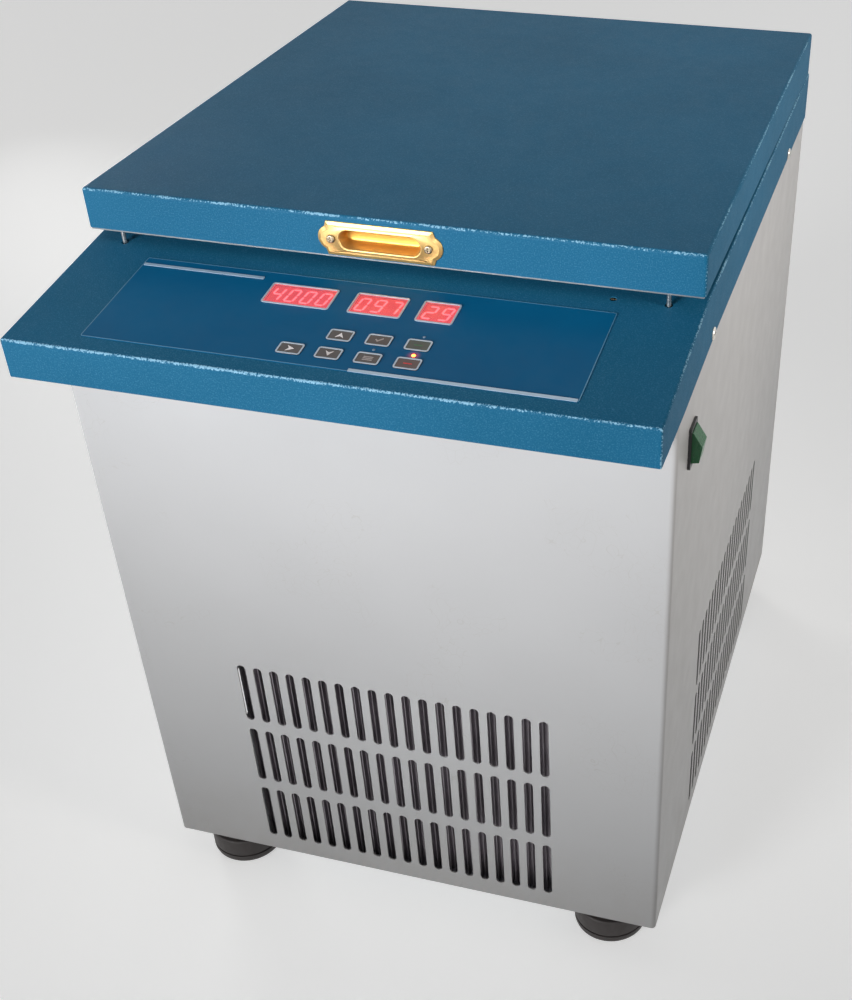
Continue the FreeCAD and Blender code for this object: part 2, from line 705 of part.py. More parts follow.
def display_windows():
    return group([on_slope(rounded_plate(display_width(digits), DISPLAY_HEIGHT, 2, 0, OVERLAY_THICKNESS,
                                         x, DISPLAY_MIDDLE)) for x, digits in DISPLAYS])


def board_parts():
    """The digit blocks, with their faces just under the windows, and a switch for each key."""
    parts = []
    for x, digits in DISPLAYS:
        width = len(digits) * DIGIT_PITCH - 2 * SEAT_GAP
        height = DISPLAY_HEIGHT - 2 * DISPLAY_BORDER - 2 * SEAT_GAP
        parts.append(rounded_plate(width, height, 0.8, -BOARD_DEPTH, -SEAT_GAP, x, DISPLAY_MIDDLE))
    half, top = SWITCH_SIZE / 2, -BOARD_DEPTH + SWITCH_HEIGHT
    for x, s in key_places().values():
        parts.append(box(x - half, x + half, s - half, s + half, -BOARD_DEPTH, top))
    return group([on_slope(part) for part in parts])


SEGMENTS = {"0": "abcdef", "2": "abdeg", "4": "bcfg", "7": "abc", "9": "abcdfg"}


def segment(name):
    """One bar of a digit that is centred on the origin, as a six-sided prism."""
    half_w, half_h, half_t = DIGIT_WIDTH / 2, DIGIT_HEIGHT / 2, DIGIT_STROKE / 2
    half_w, half_h = half_w - half_t, half_h - half_t
    ends = {"a": ((-half_w, half_h), (half_w, half_h)), "g": ((-half_w, 0), (half_w, 0)),
            "d": ((-half_w, -half_h), (half_w, -half_h)), "f": ((-half_w, 0), (-half_w, half_h)),
            "b": ((half_w, 0), (half_w, half_h)), "e": ((-half_w, -half_h), (-half_w, 0)),
            "c": ((half_w, -half_h), (half_w, 0))}
    (x0, s0), (x1, s1) = ends[name]
    if s0 == s1:
        x0, x1 = x0 + 0.25, x1 - 0.25
        points = [(x0, s0), (x0 + half_t, s0 + half_t), (x1 - half_t, s0 + half_t), (x1, s0),
                  (x1 - half_t, s0 - half_t), (x0 + half_t, s0 - half_t)]
    else:
        s0, s1 = s0 + 0.25, s1 - 0.25
        points = [(x0, s0), (x0 + half_t, s0 + half_t), (x0 + half_t, s1 - half_t), (x0, s1),
                  (x0 - half_t, s1 - half_t), (x0 - half_t, s0 + half_t)]
    lean = math.tan(math.radians(DIGIT_SLANT))
    return outline([(x + s * lean, s, 0) for x, s in points]).extrude(Vector(0, 0, SEGMENT_THICKNESS))


def display_digits():
    bars = []
    for middle, digits in DISPLAYS:
        for place, digit in enumerate(digits):
            x = middle + (place - (len(digits) - 1) / 2) * DIGIT_PITCH
            bars += [on_slope(moved(segment(name), x, DISPLAY_MIDDLE, -SEAT_GAP))
                     for name in SEGMENTS[digit]]
    return group(bars)


def display_board():
    left, right, low, high = board_span()
    return on_slope(box(left, right, low, high, -BOARD_DEPTH - BOARD_THICKNESS, -BOARD_DEPTH))


def key(x, s):
    """A key cap with a rim under the sheet and a stem down to its switch."""
    top = OVERLAY_THICKNESS + KEY_PROUD
    rim = -SHEET - SEAT_GAP
    cap = rounded_plate(KEY_WIDTH, KEY_DEPTH, KEY_CORNER - KEY_GAP, rim, top, x, s)
    foot_ = rounded_plate(KEY_WIDTH + 2.4, KEY_DEPTH + 2.4, KEY_CORNER, rim - 0.8, rim, x, s)
    stem_end = -BOARD_DEPTH + SWITCH_HEIGHT + KEY_TRAVEL + 0.1
    stem = disc(SWITCH_SIZE / 2.4, stem_end, rim - 0.8, x, s)
    return on_slope(join([cap, foot_, stem]))


def indicator_lamps():
    lamps = []
    for x, s in LAMPS:
        lamp = disc(LAMP_RADIUS, -BOARD_DEPTH, OVERLAY_THICKNESS + 0.6, x, s)
        lamps.append(on_slope(fillet_where(lamp, 0.5, lambda e: e.BoundBox.ZMin > 0)))
    return group(lamps)


# Lid

def lid_shell():
    def bottom(y):
        share = (y - lid_front) / (lid_back - lid_front)
        return deck_z + LID_GAP_FRONT + (LID_GAP_BACK - LID_GAP_FRONT) * share
    outer = side_profile([(lid_front, bottom(lid_front)), (lid_front, lid_top), (lid_back, lid_top),
                          (lid_back, bottom(lid_back))], -cowl_x, cowl_x)
    outer = fillet_where(outer, LID_EDGE_RADIUS, lambda e: e.BoundBox.ZMax > lid_top - 1e-6)
    below = deck_z - SHEET
    inner = box(-side_x, side_x, lid_front + SHEET, lid_back - SHEET, below, lid_top - SHEET)
    shell = outer.cut(inner)
    shell = shell.cut(recess_block(RECESS_WALL + SEAT_GAP, -1, RECESS_DEPTH))
    shell = screw_holes(shell, handle_screw_places(), FORWARDS)
    return screw_holes(shell, moving_leaf_screws, BACKWARDS)


def lid_pan():
    """The flat inner pan, with a shallow pressed disc over the chamber."""
    gap = 0.1
    pan = box(-side_x + gap, side_x - gap, lid_front + SHEET + gap, lid_back - SHEET - gap,
              pan_z, pan_z + SHEET)
    bump = disc(PAN_DISC_RADIUS, pan_z - PAN_DISC_DROP, pan_z, 0, axis_y)
    bump = fillet_where(bump, PAN_DISC_DROP * 0.6, lambda e: e.BoundBox.ZMax < pan_z - 1)
    return join([pan, bump]).cut(pressed_disc()).cut(striker_holes())


def pressed_disc():
    """The hollow of the pan's pressed disc, which the foam fills."""
    return disc(PAN_DISC_RADIUS - 2 * SHEET, pan_z - PAN_DISC_DROP + SHEET, pan_z + SHEET, 0, axis_y)


def lid_insulation():
    gap = 0.1
    foam = box(-side_x + gap, side_x - gap, lid_front + SHEET + gap, lid_back - SHEET - gap,
               pan_z + SHEET, lid_top - SHEET - gap)
    foam = join([foam, pressed_disc()])
    foam = foam.cut(recess_block(RECESS_WALL + 2 * SEAT_GAP, -1, RECESS_DEPTH + 2))
    foam = screw_holes(foam, handle_screw_places(), FORWARDS)
    return screw_holes(foam, moving_leaf_screws, BACKWARDS).cut(striker_holes())


def striker_holes():
    y = lock_y
    return [disc(STRIKER_RADIUS + RUNNING_GAP, deck_z, lid_top - SHEET - 0.1, side * striker_x, y)
            for side in (-1, 1)]


def striker(side):
    """A round pin with a neck near its tip for the lock bar."""
    x, y = side * striker_x, lock_y
    tip = deck_z - STRIKER_DROP
    neck = lock_z() - NECK_LENGTH / 2
    pin = disc(STRIKER_RADIUS, tip, lid_top - SHEET - 0.1, x, y)
    pin = pin.cut(ring(STRIKER_NECK, STRIKER_RADIUS + 1, neck, neck + NECK_LENGTH, x, y))
    return fillet_where(pin, STRIKER_RADIUS * 0.5, lambda e: e.BoundBox.ZMax < tip + 1e-6)


def handle_face(length, straight, height, y):
    """The handle's outline: straight edges and a bracket-shaped bulge at each end."""
    top, bulge = height / 2, height * 0.33
    shoulder = straight / 2 + height * 0.06
    points = [Vector(-straight / 2, y, handle_z + top), Vector(straight / 2, y, handle_z + top)]
    edges = [Part.LineSegment(*points)]
    for side in (1, -1):
        start = Vector(side * straight / 2, y, handle_z + side * top)
        neck = Vector(side * shoulder, y, handle_z + side * bulge)
        tip = Vector(side * length / 2, y, handle_z)
        other = Vector(side * shoulder, y, handle_z - side * bulge)
        end = Vector(side * straight / 2, y, handle_z - side * top)
        edges += [Part.LineSegment(start, neck), Part.Arc(neck, tip, other), Part.LineSegment(other, end)]
        if side > 0:
            edges.append(Part.LineSegment(end, Vector(-straight / 2, y, handle_z - top)))
    return Part.Face(Part.Wire([edge.toShape() for edge in edges]))


def recess_block(grow, start, depth):
    """A round-ended block of the finger recess's size, from the lid's front face inwards."""
    half = RECESS_HEIGHT / 2 + grow
    reach = RECESS_LENGTH / 2 - RECESS_HEIGHT / 2
    y0, y1 = lid_front + start, lid_front + depth
    middle = box(-reach, reach, y0, y1, handle_z - half, handle_z + half)
    ends = [rod((side * reach, y0, handle_z), (side * reach, y1, handle_z), half) for side in (-1, 1)]
    return join([middle] + ends)


def pull_handle():
    plate_front = lid_front - HANDLE_PLATE
    plate = handle_face(HANDLE_LENGTH, HANDLE_STRAIGHT, HANDLE_HEIGHT, lid_front)
    plate = plate.extrude(Vector(0, -HANDLE_PLATE * 0.45, 0))
    inset = HANDLE_HEIGHT * 0.13
    raised = handle_face(HANDLE_LENGTH - inset, HANDLE_STRAIGHT - inset * 0.6, HANDLE_HEIGHT - inset,
                         lid_front)
    raised = raised.extrude(Vector(0, -HANDLE_PLATE, 0))
    cup = recess_block(RECESS_WALL, 0, RECESS_DEPTH)
    hollow = recess_block(0, -HANDLE_PLATE - 1, RECESS_DEPTH - RECESS_WALL)
    handle = join([plate, raised, cup]).cut(hollow)
    rim = plate_front + 1e-6
    handle = fillet_where(handle, 0.8, lambda e: e.BoundBox.YMax < rim
                          and e.BoundBox.ZLength <= RECESS_HEIGHT + 1e-3
                          and e.BoundBox.XMax < RECESS_LENGTH / 2 + 1e-3
                          and e.BoundBox.XMin > -RECESS_LENGTH / 2 - 1e-3)
    return screw_holes(handle, handle_screw_places(), FORWARDS)


def lid_screws():
    return group([pan_screw(place, FORWARDS) for place in handle_screw_places()]
                 + [pan_screw(place, BACKWARDS) for place in moving_leaf_screws])


# Hinges

def knuckle_spans(middle):
    """The stretches of the hinge line that belong to the fixed and to the moving leaf."""
    pitch = HINGE_LENGTH / KNUCKLE_COUNT
    start = middle - HINGE_LENGTH / 2
    spans = [(start + n * pitch, start + (n + 1) * pitch) for n in range(KNUCKLE_COUNT)]
    gap = SEAT_GAP / 2
    spans = [(a + (gap if n else 0), b - (gap if n < KNUCKLE_COUNT - 1 else 0))
             for n, (a, b) in enumerate(spans)]
    return spans[0::2], spans[1::2]


def leaf(middle, spans, plate_y, rise, bore):
    """A leaf plate with its knuckles; rise is 1 above the pin and -1 below it."""
    clear = KNUCKLE_RADIUS + 1
    near, far = hinge_z + rise * clear, hinge_z + rise * (clear + LEAF_HEIGHT - 1)
    x0, x1 = middle - HINGE_LENGTH / 2, middle + HINGE_LENGTH / 2
    pieces = [box(x0, x1, plate_y, plate_y + LEAF_THICKNESS, min(near, far), max(near, far))]
    for a, b in spans:
        pieces.append(rod((a, hinge_y, hinge_z), (b, hinge_y, hinge_z), KNUCKLE_RADIUS))
        pieces.append(box(a, b, plate_y, plate_y + LEAF_THICKNESS, min(hinge_z, near), max(hinge_z, near)))
    whole = join(pieces)
    return whole.cut(rod((x0 - 1, hinge_y, hinge_z), (x1 + 1, hinge_y, hinge_z), bore))


def hinge_fixed_leaves():
    """The cowl's leaves with the hinge pins pressed into them."""
    y = cabinet_back + SHEET
    half = HINGE_LENGTH / 2
    pieces = []
    for x in (-HINGE_X, HINGE_X):
        one = leaf(x, knuckle_spans(x)[0], y, -1, HINGE_PIN_RADIUS)
        pieces.append(screw_holes(one, fixed_leaf_screws, BACKWARDS))
        pieces.append(rod((x - half, hinge_y, hinge_z), (x + half, hinge_y, hinge_z), HINGE_PIN_RADIUS))
    return group(pieces)


def hinge_moving_leaves():
    bore = HINGE_PIN_RADIUS + RUNNING_GAP
    leaves = [leaf(x, knuckle_spans(x)[1], lid_back, 1, bore) for x in (-HINGE_X, HINGE_X)]
    return group([screw_holes(one, moving_leaf_screws, BACKWARDS) for one in leaves])


# Lock

def lock_z():
    return deck_z - STRIKER_DROP + NECK_LENGTH + 3


def lock_bar():
    """One bar across the cabinet with a keyhole at each end, and the plunger that pulls it."""
    y, z, half = lock_y, lock_z(), LOCK_BAR_THICKNESS / 2
    front, back = y - LOCK_BAR_WIDTH / 2, y + LOCK_BAR_WIDTH / 2
    reach = striker_x + LOCK_TRAVEL + LOCK_BAR_END
    bar = box(-reach, reach - LOCK_TRAVEL, front, back, z - half, z + half)
    slit = STRIKER_NECK + RUNNING_GAP + 0.2
    for side in (-1, 1):
        x = side * striker_x
        bar = bar.cut(disc(STRIKER_RADIUS + LOCK_CLEARANCE, z - 2 * half, z + 2 * half, x, y))
        bar = bar.cut(box(x - LOCK_TRAVEL, x, y - slit, y + slit, z - 2 * half, z + 2 * half))
        bar = bar.cut(disc(slit, z - 2 * half, z + 2 * half, x - LOCK_TRAVEL, y))
    drop = z - half - SOLENOID_SIZE / 2 - 1
    tab_x = SOLENOID_LENGTH / 2 + LOCK_TRAVEL + 4
    tab = box(-tab_x - 3, -tab_x, front, back, drop - PLUNGER_RADIUS, z)
    plunger = rod((-tab_x, y, drop), (SOLENOID_LENGTH / 4 - LOCK_TRAVEL, y, drop), PLUNGER_RADIUS)
    return join([bar, tab, plunger])


def lock_solenoid():
    """The coil that draws the bar, and the two hangers that carry the bar."""
    y, z = lock_y, lock_z() - LOCK_BAR_THICKNESS / 2 - SOLENOID_SIZE / 2 - 1
    half, size = SOLENOID_LENGTH / 2, SOLENOID_SIZE / 2
    body = box(-half, half, y - size, y + size, z - size, z + size)
    body = body.cut(rod((-half - 1, y, z), (half - 8, y, z), PLUNGER_RADIUS + RUNNING_GAP))
    front = y - size - SHEET
    plate = box(-half, half, front, front + SHEET, z - size, slope_under(front))
    return group([join([body, plate]), lock_guides()])


def slope_under(y):
    """Height of the slope's underside at y."""
    return fold_z + (y - front_y) * math.tan(slope) - SHEET / math.cos(slope)


def lock_guides():
    y, z = lock_y, lock_z()
    wide = LOCK_BAR_WIDTH / 2 + 4
    guides = []
    for x in (-GUIDE_X, GUIDE_X):
        low, high = z - LOCK_BAR_THICKNESS / 2 - 4, slope_under(y - wide)
        block = box(x - 5, x + 5, y - wide, y + wide, low, high)
        gap = RUNNING_GAP * 2
        slot = box(x - 6, x + 6, y - LOCK_BAR_WIDTH / 2 - gap, y + LOCK_BAR_WIDTH / 2 + gap,
                   z - LOCK_BAR_THICKNESS / 2 - gap, z + LOCK_BAR_THICKNESS / 2 + gap)
        guides.append(block.cut(slot))
    return group(guides)


def release_screw():
    """The slotted head of the hand release, sunk in the slope beside the right striker."""
    head = disc(RELEASE_RADIUS, -SHEET - 6, -0.4, release_x, striker_up())
    collar = disc(RELEASE_RADIUS + 2, -SHEET - 4, -SHEET, release_x, striker_up())
    slot = box(release_x - RELEASE_RADIUS, release_x + RELEASE_RADIUS, striker_up() - 0.5,
               striker_up() + 0.5, -1.6, 1)
    return on_slope(join([head, collar]).cut(slot))


# Chamber

def bowl_body(grow, top):
    """The bowl's inside, grown by its wall where that is asked for."""
    body = disc(bowl_radius + grow, bowl_floor - grow, top, 0, axis_y)
    return fillet_where(body, BOWL_CORNER + grow, lambda e: e.BoundBox.ZMax < bowl_floor + 1)


def chamber_wall():
    """The rolled wall with its rim, which ends at the seam over the floor's rounded corner."""
    wall = ring(bowl_radius, bowl_radius + BOWL_WALL, bowl_seam, deck_under, 0, axis_y)
    rim = ring(bowl_radius, bowl_radius + BOWL_FLANGE, deck_under - BOWL_WALL, deck_under, 0, axis_y)
    return join([wall, rim])


def chamber_floor():
    """The dished floor with the shaft's hole, which the wall stands on."""
    dish = bowl_body(BOWL_WALL, deck_under).cut(bowl_body(0, deck_under + 1))
    dish = dish.cut(disc(bowl_radius + BOWL_FLANGE, bowl_seam, deck_under + 1, 0, axis_y))
    hole = disc(BOWL_HOLE_RADIUS, bowl_floor - 2 * BOWL_WALL, bowl_floor + 1, 0, axis_y)
    return dish.cut(hole)


def chamber_gasket():
    inner = mouth_radius + 1
    seal = ring(inner, inner + GASKET_WIDTH, deck_z, deck_z + GASKET_HEIGHT, 0, axis_y)
    return fillet_where(seal, GASKET_HEIGHT * 0.45, lambda e: e.BoundBox.ZMin > deck_z + 1)


def coil_path():
    """A rising helix as quarter-turn pairs of tangent arcs."""
    steps = int(COIL_TURNS * 4 + 2)
    angle = math.pi / 2
    rise = COIL_PITCH / 4
    length = math.hypot(coil_radius * angle, rise)
    edges = []
    for step in range(steps):
        ends = []
        for n in (step, step + 1):
            a = math.pi + n * angle
            across, back = coil_radius * math.cos(a), coil_radius * math.sin(a)
            point = Vector(across, axis_y + back, coil_bottom + n * rise)
            along = Vector(-back * angle, across * angle, rise)
            ends.append((point, along / length))
        (p, t), (q, u) = ends
        v = q - p
        w = t + u
        a2 = 2 * (1 - t.dot(u))
        d = (-v.dot(w) + math.sqrt(v.dot(w) ** 2 + a2 * v.dot(v))) / a2
        joint = (p + q + (t - u) * d) * 0.5
        edges.append(tangent_arc(p, t, joint))
        edges.append(tangent_arc(q, u * -1, joint, True))
    return Part.Wire(edges)


def tangent_arc(start, along, end, backwards=False):
    """The arc that leaves start along a direction and reaches end."""
    chord = end - start
    normal = along.cross(chord).cross(along)
    normal.normalize()
    radius = chord.dot(chord) / (2 * chord.dot(normal))
    centre = start + normal * radius
    mid = (start + end) * 0.5 - centre
    mid.normalize()
    middle = centre + mid * radius
    ends = (end, middle, start) if backwards else (start, middle, end)
    return Part.Arc(*ends).toShape()


def evaporator_coil():
    path = coil_path()
    start = Vector(-coil_radius, axis_y, coil_bottom)
    along = path.Edges[0].tangentAt(path.Edges[0].FirstParameter)
    section = Part.Wire(Part.makeCircle(COIL_TUBE_RADIUS, start, along))
    return path.makePipeShell([section], True, False)


def lead_holes():
    """Ways for the two coil leads through the guard and the foam."""
    far = axis_y + jacket_radius + 5
    return [rod((side * coil_radius, axis_y, z), (side * coil_radius, far, z), LINE_RADIUS + 1)
            for side, z in ((-1, coil_bottom), (1, coil_top))]


def guard_ring():
    outer = guard_radius + GUARD_WALL
    return ring(guard_radius, outer, shelf_top, deck_z - GUARD_DROP, 0, axis_y).cut(lead_holes())


def chamber_insulation():
    inner = guard_radius + GUARD_WALL
    jacket = ring(inner, jacket_radius, shelf_top, deck_z - GUARD_DROP, 0, axis_y)
    jacket = jacket.cut(lead_holes())
    pad = ring(SHAFT_WAY_RADIUS, guard_radius, shelf_top, shelf_top + PAD_THICKNESS, 0, axis_y)
    return group([jacket, pad])


def shaft_boot():
    inner = SHAFT_RADIUS + 1.5
    flange = ring(inner, BOWL_HOLE_RADIUS + 8, bowl_floor, bowl_floor + BOOT_WALL, 0, axis_y)
    collar = ring(inner, inner + BOOT_WALL, bowl_floor, bowl_floor + BOOT_COLLAR_RISE, 0, axis_y)
    return join([flange, collar])


# Motor

def motor_plate():
    half = MOTOR_PLATE_WIDTH / 2
    plate = box(-half, half, axis_y - half, axis_y + half, motor_top, motor_plate_top)
    plate = fillet_where(plate, 12, lambda e: e.BoundBox.ZLength > 1)
    return plate.cut(disc(BEARING_RADIUS + 8, motor_top, motor_plate_top, 0, axis_y))


def rubber_mounts():
    half = MOUNT_SPACING / 2
    mounts = [disc(MOUNT_RADIUS, motor_plate_top, shelf_under, side * half, axis_y + along * half)
              for side in (-1, 1) for along in (-1, 1)]
    reach = COMPRESSOR_RADIUS * 0.8
    mounts += [disc(GROMMET_RADIUS, base_top, base_top + GROMMET_HEIGHT, COMPRESSOR_X + side * reach,
                    compressor_y + along * reach) for side in (-1, 1) for along in (-1, 1)]
    return group(mounts)


def motor_housing():
    """A case bored for the armature, with a bearing in each end."""
    case = disc(MOTOR_RADIUS, motor_bottom, motor_top, 0, axis_y)
    case = fillet_where(case, 5, lambda e: e.BoundBox.ZMax < motor_bottom + 1)
    low, high = motor_bottom + MOTOR_END, motor_top - MOTOR_END
    case = case.cut(disc(STATOR_BORE, low, high, 0, axis_y))
    case = case.cut(disc(BEARING_RADIUS, motor_top - BEARING_WIDTH, motor_top, 0, axis_y))
    case = case.cut(disc(BEARING_RADIUS, low - BEARING_WIDTH, low, 0, axis_y))
    case = case.cut(disc(SHAFT_RADIUS + 2, low, motor_top, 0, axis_y))
    inner = SHAFT_RADIUS + RUNNING_GAP
    bearings = [ring(inner, BEARING_RADIUS, z, z + BEARING_WIDTH, 0, axis_y)
                for z in (motor_top - BEARING_WIDTH, low - BEARING_WIDTH)]
    return group([case] + bearings)


def motor_shaft():
    """The shaft with its armature, a step for the rotor and a thinner end for the nut."""
    low, high = motor_bottom + MOTOR_END, motor_top - MOTOR_END
    end_turns = (high - low) * 0.2
    shoulder = pivot_z - YOKE_THICKNESS / 2
    shaft = disc(SHAFT_RADIUS, low - BEARING_WIDTH, pivot_z + HUB_RISE, 0, axis_y)
    armature = disc(STATOR_BORE - ARMATURE_GAP, low + end_turns, high - end_turns, 0, axis_y)
    step = disc(SHAFT_RADIUS + SHAFT_SHOULDER, shoulder - SHAFT_SHOULDER_HEIGHT, shoulder, 0, axis_y)
    thread = disc(THREAD_RADIUS, pivot_z + HUB_RISE, pivot_z + HUB_RISE + THREAD_LENGTH, 0, axis_y)
    return join([shaft, armature, step, thread])


# Rotor

def slot_half():
    return BUCKET_RADIUS + BOSS_LENGTH + SEAT_GAP


def rotor_yoke():
    """A thick plate with a slot for each bucket, and two pins across each slot."""
    z0, z1 = pivot_z - YOKE_THICKNESS / 2, pivot_z + YOKE_THICKNESS / 2
    half = slot_half()
    sweep = math.hypot(BUCKET_RADIUS + BUCKET_RIM, BUCKET_RISE)
    inner = TRUNNION_RADIUS - sweep - 2
    plate = disc(TRUNNION_RADIUS + YOKE_REACH, z0, z1)
    hub = disc(HUB_RADIUS, z0, pivot_z + HUB_RISE)
    plate = join([plate, hub])
    bore = disc(SHAFT_RADIUS, z0, pivot_z + HUB_RISE)
    slot = box(inner, TRUNNION_RADIUS + YOKE_REACH + 1, -half, half, z0, z1)
    pins = []
    for n in range(BUCKET_COUNT):
        angle = 360 * n / BUCKET_COUNT
        plate = plate.cut(turned(slot, angle))
        for side in (-1, 1):
            start, end = side * (half + 4), side * (BUCKET_RADIUS + PIN_START)
            pin = rod((TRUNNION_RADIUS, start, pivot_z), (TRUNNION_RADIUS, end, pivot_z), PIN_RADIUS)
            pins.append(turned(pin, angle))
    return moved(join([plate.cut(bore)] + pins), y=axis_y)


def rotor_nut():
    z = pivot_z + HUB_RISE
    nut = disc(NUT_RADIUS, z, z + NUT_HEIGHT, 0, axis_y)
    nut = fillet_where(nut, NUT_EDGE, lambda e: e.BoundBox.ZMin > z + 1)
    return nut.cut(disc(THREAD_RADIUS + RUNNING_GAP, z, z + THREAD_LENGTH + SEAT_GAP, 0, axis_y))


def bucket(number):
    """A round cup that hangs on the yoke's pins by two open hooks."""
    x, low, high = TRUNNION_RADIUS, pivot_z - BUCKET_DROP, pivot_z + BUCKET_RISE
    cup = disc(BUCKET_RADIUS, low, high, x)
    cup = fillet_where(cup, 8, lambda e: e.BoundBox.ZMax < low + 1)
    rim = disc(BUCKET_RADIUS + BUCKET_RIM, high - BUCKET_RIM, high, x)
    reach = BUCKET_RADIUS + BOSS_LENGTH
    bosses = rod((x, -reach, pivot_z), (x, reach, pivot_z), BOSS_RADIUS)
    cup = join([cup, rim, bosses])
    bore = PIN_RADIUS + RUNNING_GAP
    inner = BUCKET_RADIUS + PIN_START - SEAT_GAP
    for side in (-1, 1):
        y0, y1 = sorted((side * inner, side * (reach + 1)))
        cup = cup.cut(rod((x, y0, pivot_z), (x, y1, pivot_z), bore))
        cup = cup.cut(box(x - bore, x + bore, y0, y1, pivot_z - BOSS_RADIUS - 1, pivot_z))
    hollow = disc(BUCKET_RADIUS - BUCKET_WALL, low + BUCKET_FLOOR, high + 1, x)
    hollow = fillet_where(hollow, 6, lambda e: e.BoundBox.ZMax < low + BUCKET_FLOOR + 1)
    return moved(turned(cup.cut(hollow), 360 * number / BUCKET_COUNT), y=axis_y)


# Cooling machinery

def condenser():
    """A tube-and-fin block: thin upright fins stand out of both faces of its core."""
    half, z1 = CONDENSER_WIDTH / 2, base_top + CONDENSER_HEIGHT
    y0, y1 = condenser_front, condenser_front + CONDENSER_DEPTH
    core = box(-half, half, y0 + FIN_DEPTH, y1 - FIN_DEPTH, base_top, z1)
    ends = [box(side * half - 1.5, side * half + 1.5, y0, y1, base_top, z1) for side in (-1, 1)]
    fins = []
    count = int(CONDENSER_WIDTH / FIN_PITCH) - 1
    for n in range(count):
        x = (n - (count - 1) / 2) * FIN_PITCH
        fins.append(box(x - FIN_THICKNESS / 2, x + FIN_THICKNESS / 2, y0, y1, base_top, z1))
    stub = rod((discharge_x, (y0 + y1) / 2, z1 - 2), (discharge_x, (y0 + y1) / 2, z1 + STUB_LENGTH),
               LINE_RADIUS + 1)
    outlet = rod((half - 4, (y0 + y1) / 2, line_z), (half + 6, (y0 + y1) / 2, line_z), LINE_RADIUS + 1)
    return join([core] + ends + fins + [stub, outlet])


def fan_shroud():
    half = CONDENSER_WIDTH / 2
    plate = box(-half, half, shroud_y, shroud_y + SHROUD_SHEET, base_top, base_top + CONDENSER_HEIGHT)
    y1 = fan_y + FAN_WIDTH / 2
    collar = rod((0, shroud_y, fan_z), (0, y1, fan_z), FAN_RADIUS + FAN_TIP_GAP + SHROUD_SHEET)
    mouth = rod((0, shroud_y - 1, fan_z), (0, y1 + 1, fan_z), FAN_RADIUS + FAN_TIP_GAP)
    return join([plate, collar]).cut(mouth)


def condenser_fan():
    half = FAN_WIDTH / 2 - 2
    hub = rod((0, -half, 0), (0, half, 0), FAN_HUB_RADIUS)
    hub = fillet_where(hub, 4, lambda e: e.BoundBox.YMax < -half + 1)
    blades = []
    for n in range(BLADE_COUNT):
        blade = box(FAN_HUB_RADIUS - 4, FAN_RADIUS + 2, -BLADE_THICKNESS / 2, BLADE_THICKNESS / 2,
                    -BLADE_CHORD / 2, BLADE_CHORD / 2)
        blade = turned(blade, BLADE_PITCH, (1, 0, 0))
        blades.append(turned(blade, 360 * n / BLADE_COUNT, (0, 1, 0)))
    trim = rod((0, -FAN_WIDTH, 0), (0, FAN_WIDTH, 0), FAN_RADIUS)
    blades = [blade.common(trim) for blade in blades]
    shaft = rod((0, 0, 0), (0, half + 24, 0), FAN_SHAFT_RADIUS)
    return moved(join([hub, shaft] + blades), 0, fan_y, fan_z)


def fan_motor():
    y0 = fan_y + FAN_WIDTH / 2 + 4
    y1 = y0 + FAN_MOTOR_LENGTH
    case = rod((0, y0, fan_z), (0, y1, fan_z), FAN_MOTOR_RADIUS)
    case = case.cut(rod((0, y0 - 1, fan_z), (0, y0 + 24, fan_z), FAN_SHAFT_RADIUS + RUNNING_GAP))
    stand_y = y0 + FAN_MOTOR_LENGTH * 0.6
    half, top = STAND_WIDTH / 2, fan_z - FAN_MOTOR_RADIUS + 5
    post = box(-half, half, stand_y, stand_y + STAND_SHEET, base_top, top)
    shoe = box(-half, half, stand_y, stand_y + SHOE_LENGTH, base_top, base_top + STAND_SHEET)
    return join([case, post, shoe])


def compressor():
    bottom = base_top + GROMMET_HEIGHT
    plate_half = COMPRESSOR_RADIUS * 0.98
    plate = box(COMPRESSOR_X - plate_half, COMPRESSOR_X + plate_half, compressor_y - plate_half,
                compressor_y + plate_half, bottom, bottom + 3)
    plate = fillet_where(plate, 15, lambda e: e.BoundBox.ZLength > 1)
    can = disc(COMPRESSOR_RADIUS, bottom + 3, bottom + COMPRESSOR_HEIGHT, COMPRESSOR_X, compressor_y)
    can = fillet_where(can, COMPRESSOR_DOME, lambda e: e.BoundBox.ZMin > bottom + COMPRESSOR_HEIGHT - 1)
    seam_z = bottom + COMPRESSOR_HEIGHT * 0.45
    seam = disc(COMPRESSOR_RADIUS + 3, seam_z, seam_z + 6, COMPRESSOR_X, compressor_y)
    stubs = [disc(LINE_RADIUS + 1, bottom + COMPRESSOR_HEIGHT * 0.8, port_z(), x, y)
             for x, y in (suction_port(), discharge_port())]
    return join([plate, can, seam] + stubs)


def port_z():
    return base_top + GROMMET_HEIGHT + COMPRESSOR_HEIGHT + PORT_RISE


def suction_port():
    return -coil_radius, line_y


def discharge_port():
    return discharge_x, compressor_y - COMPRESSOR_RADIUS * 0.6


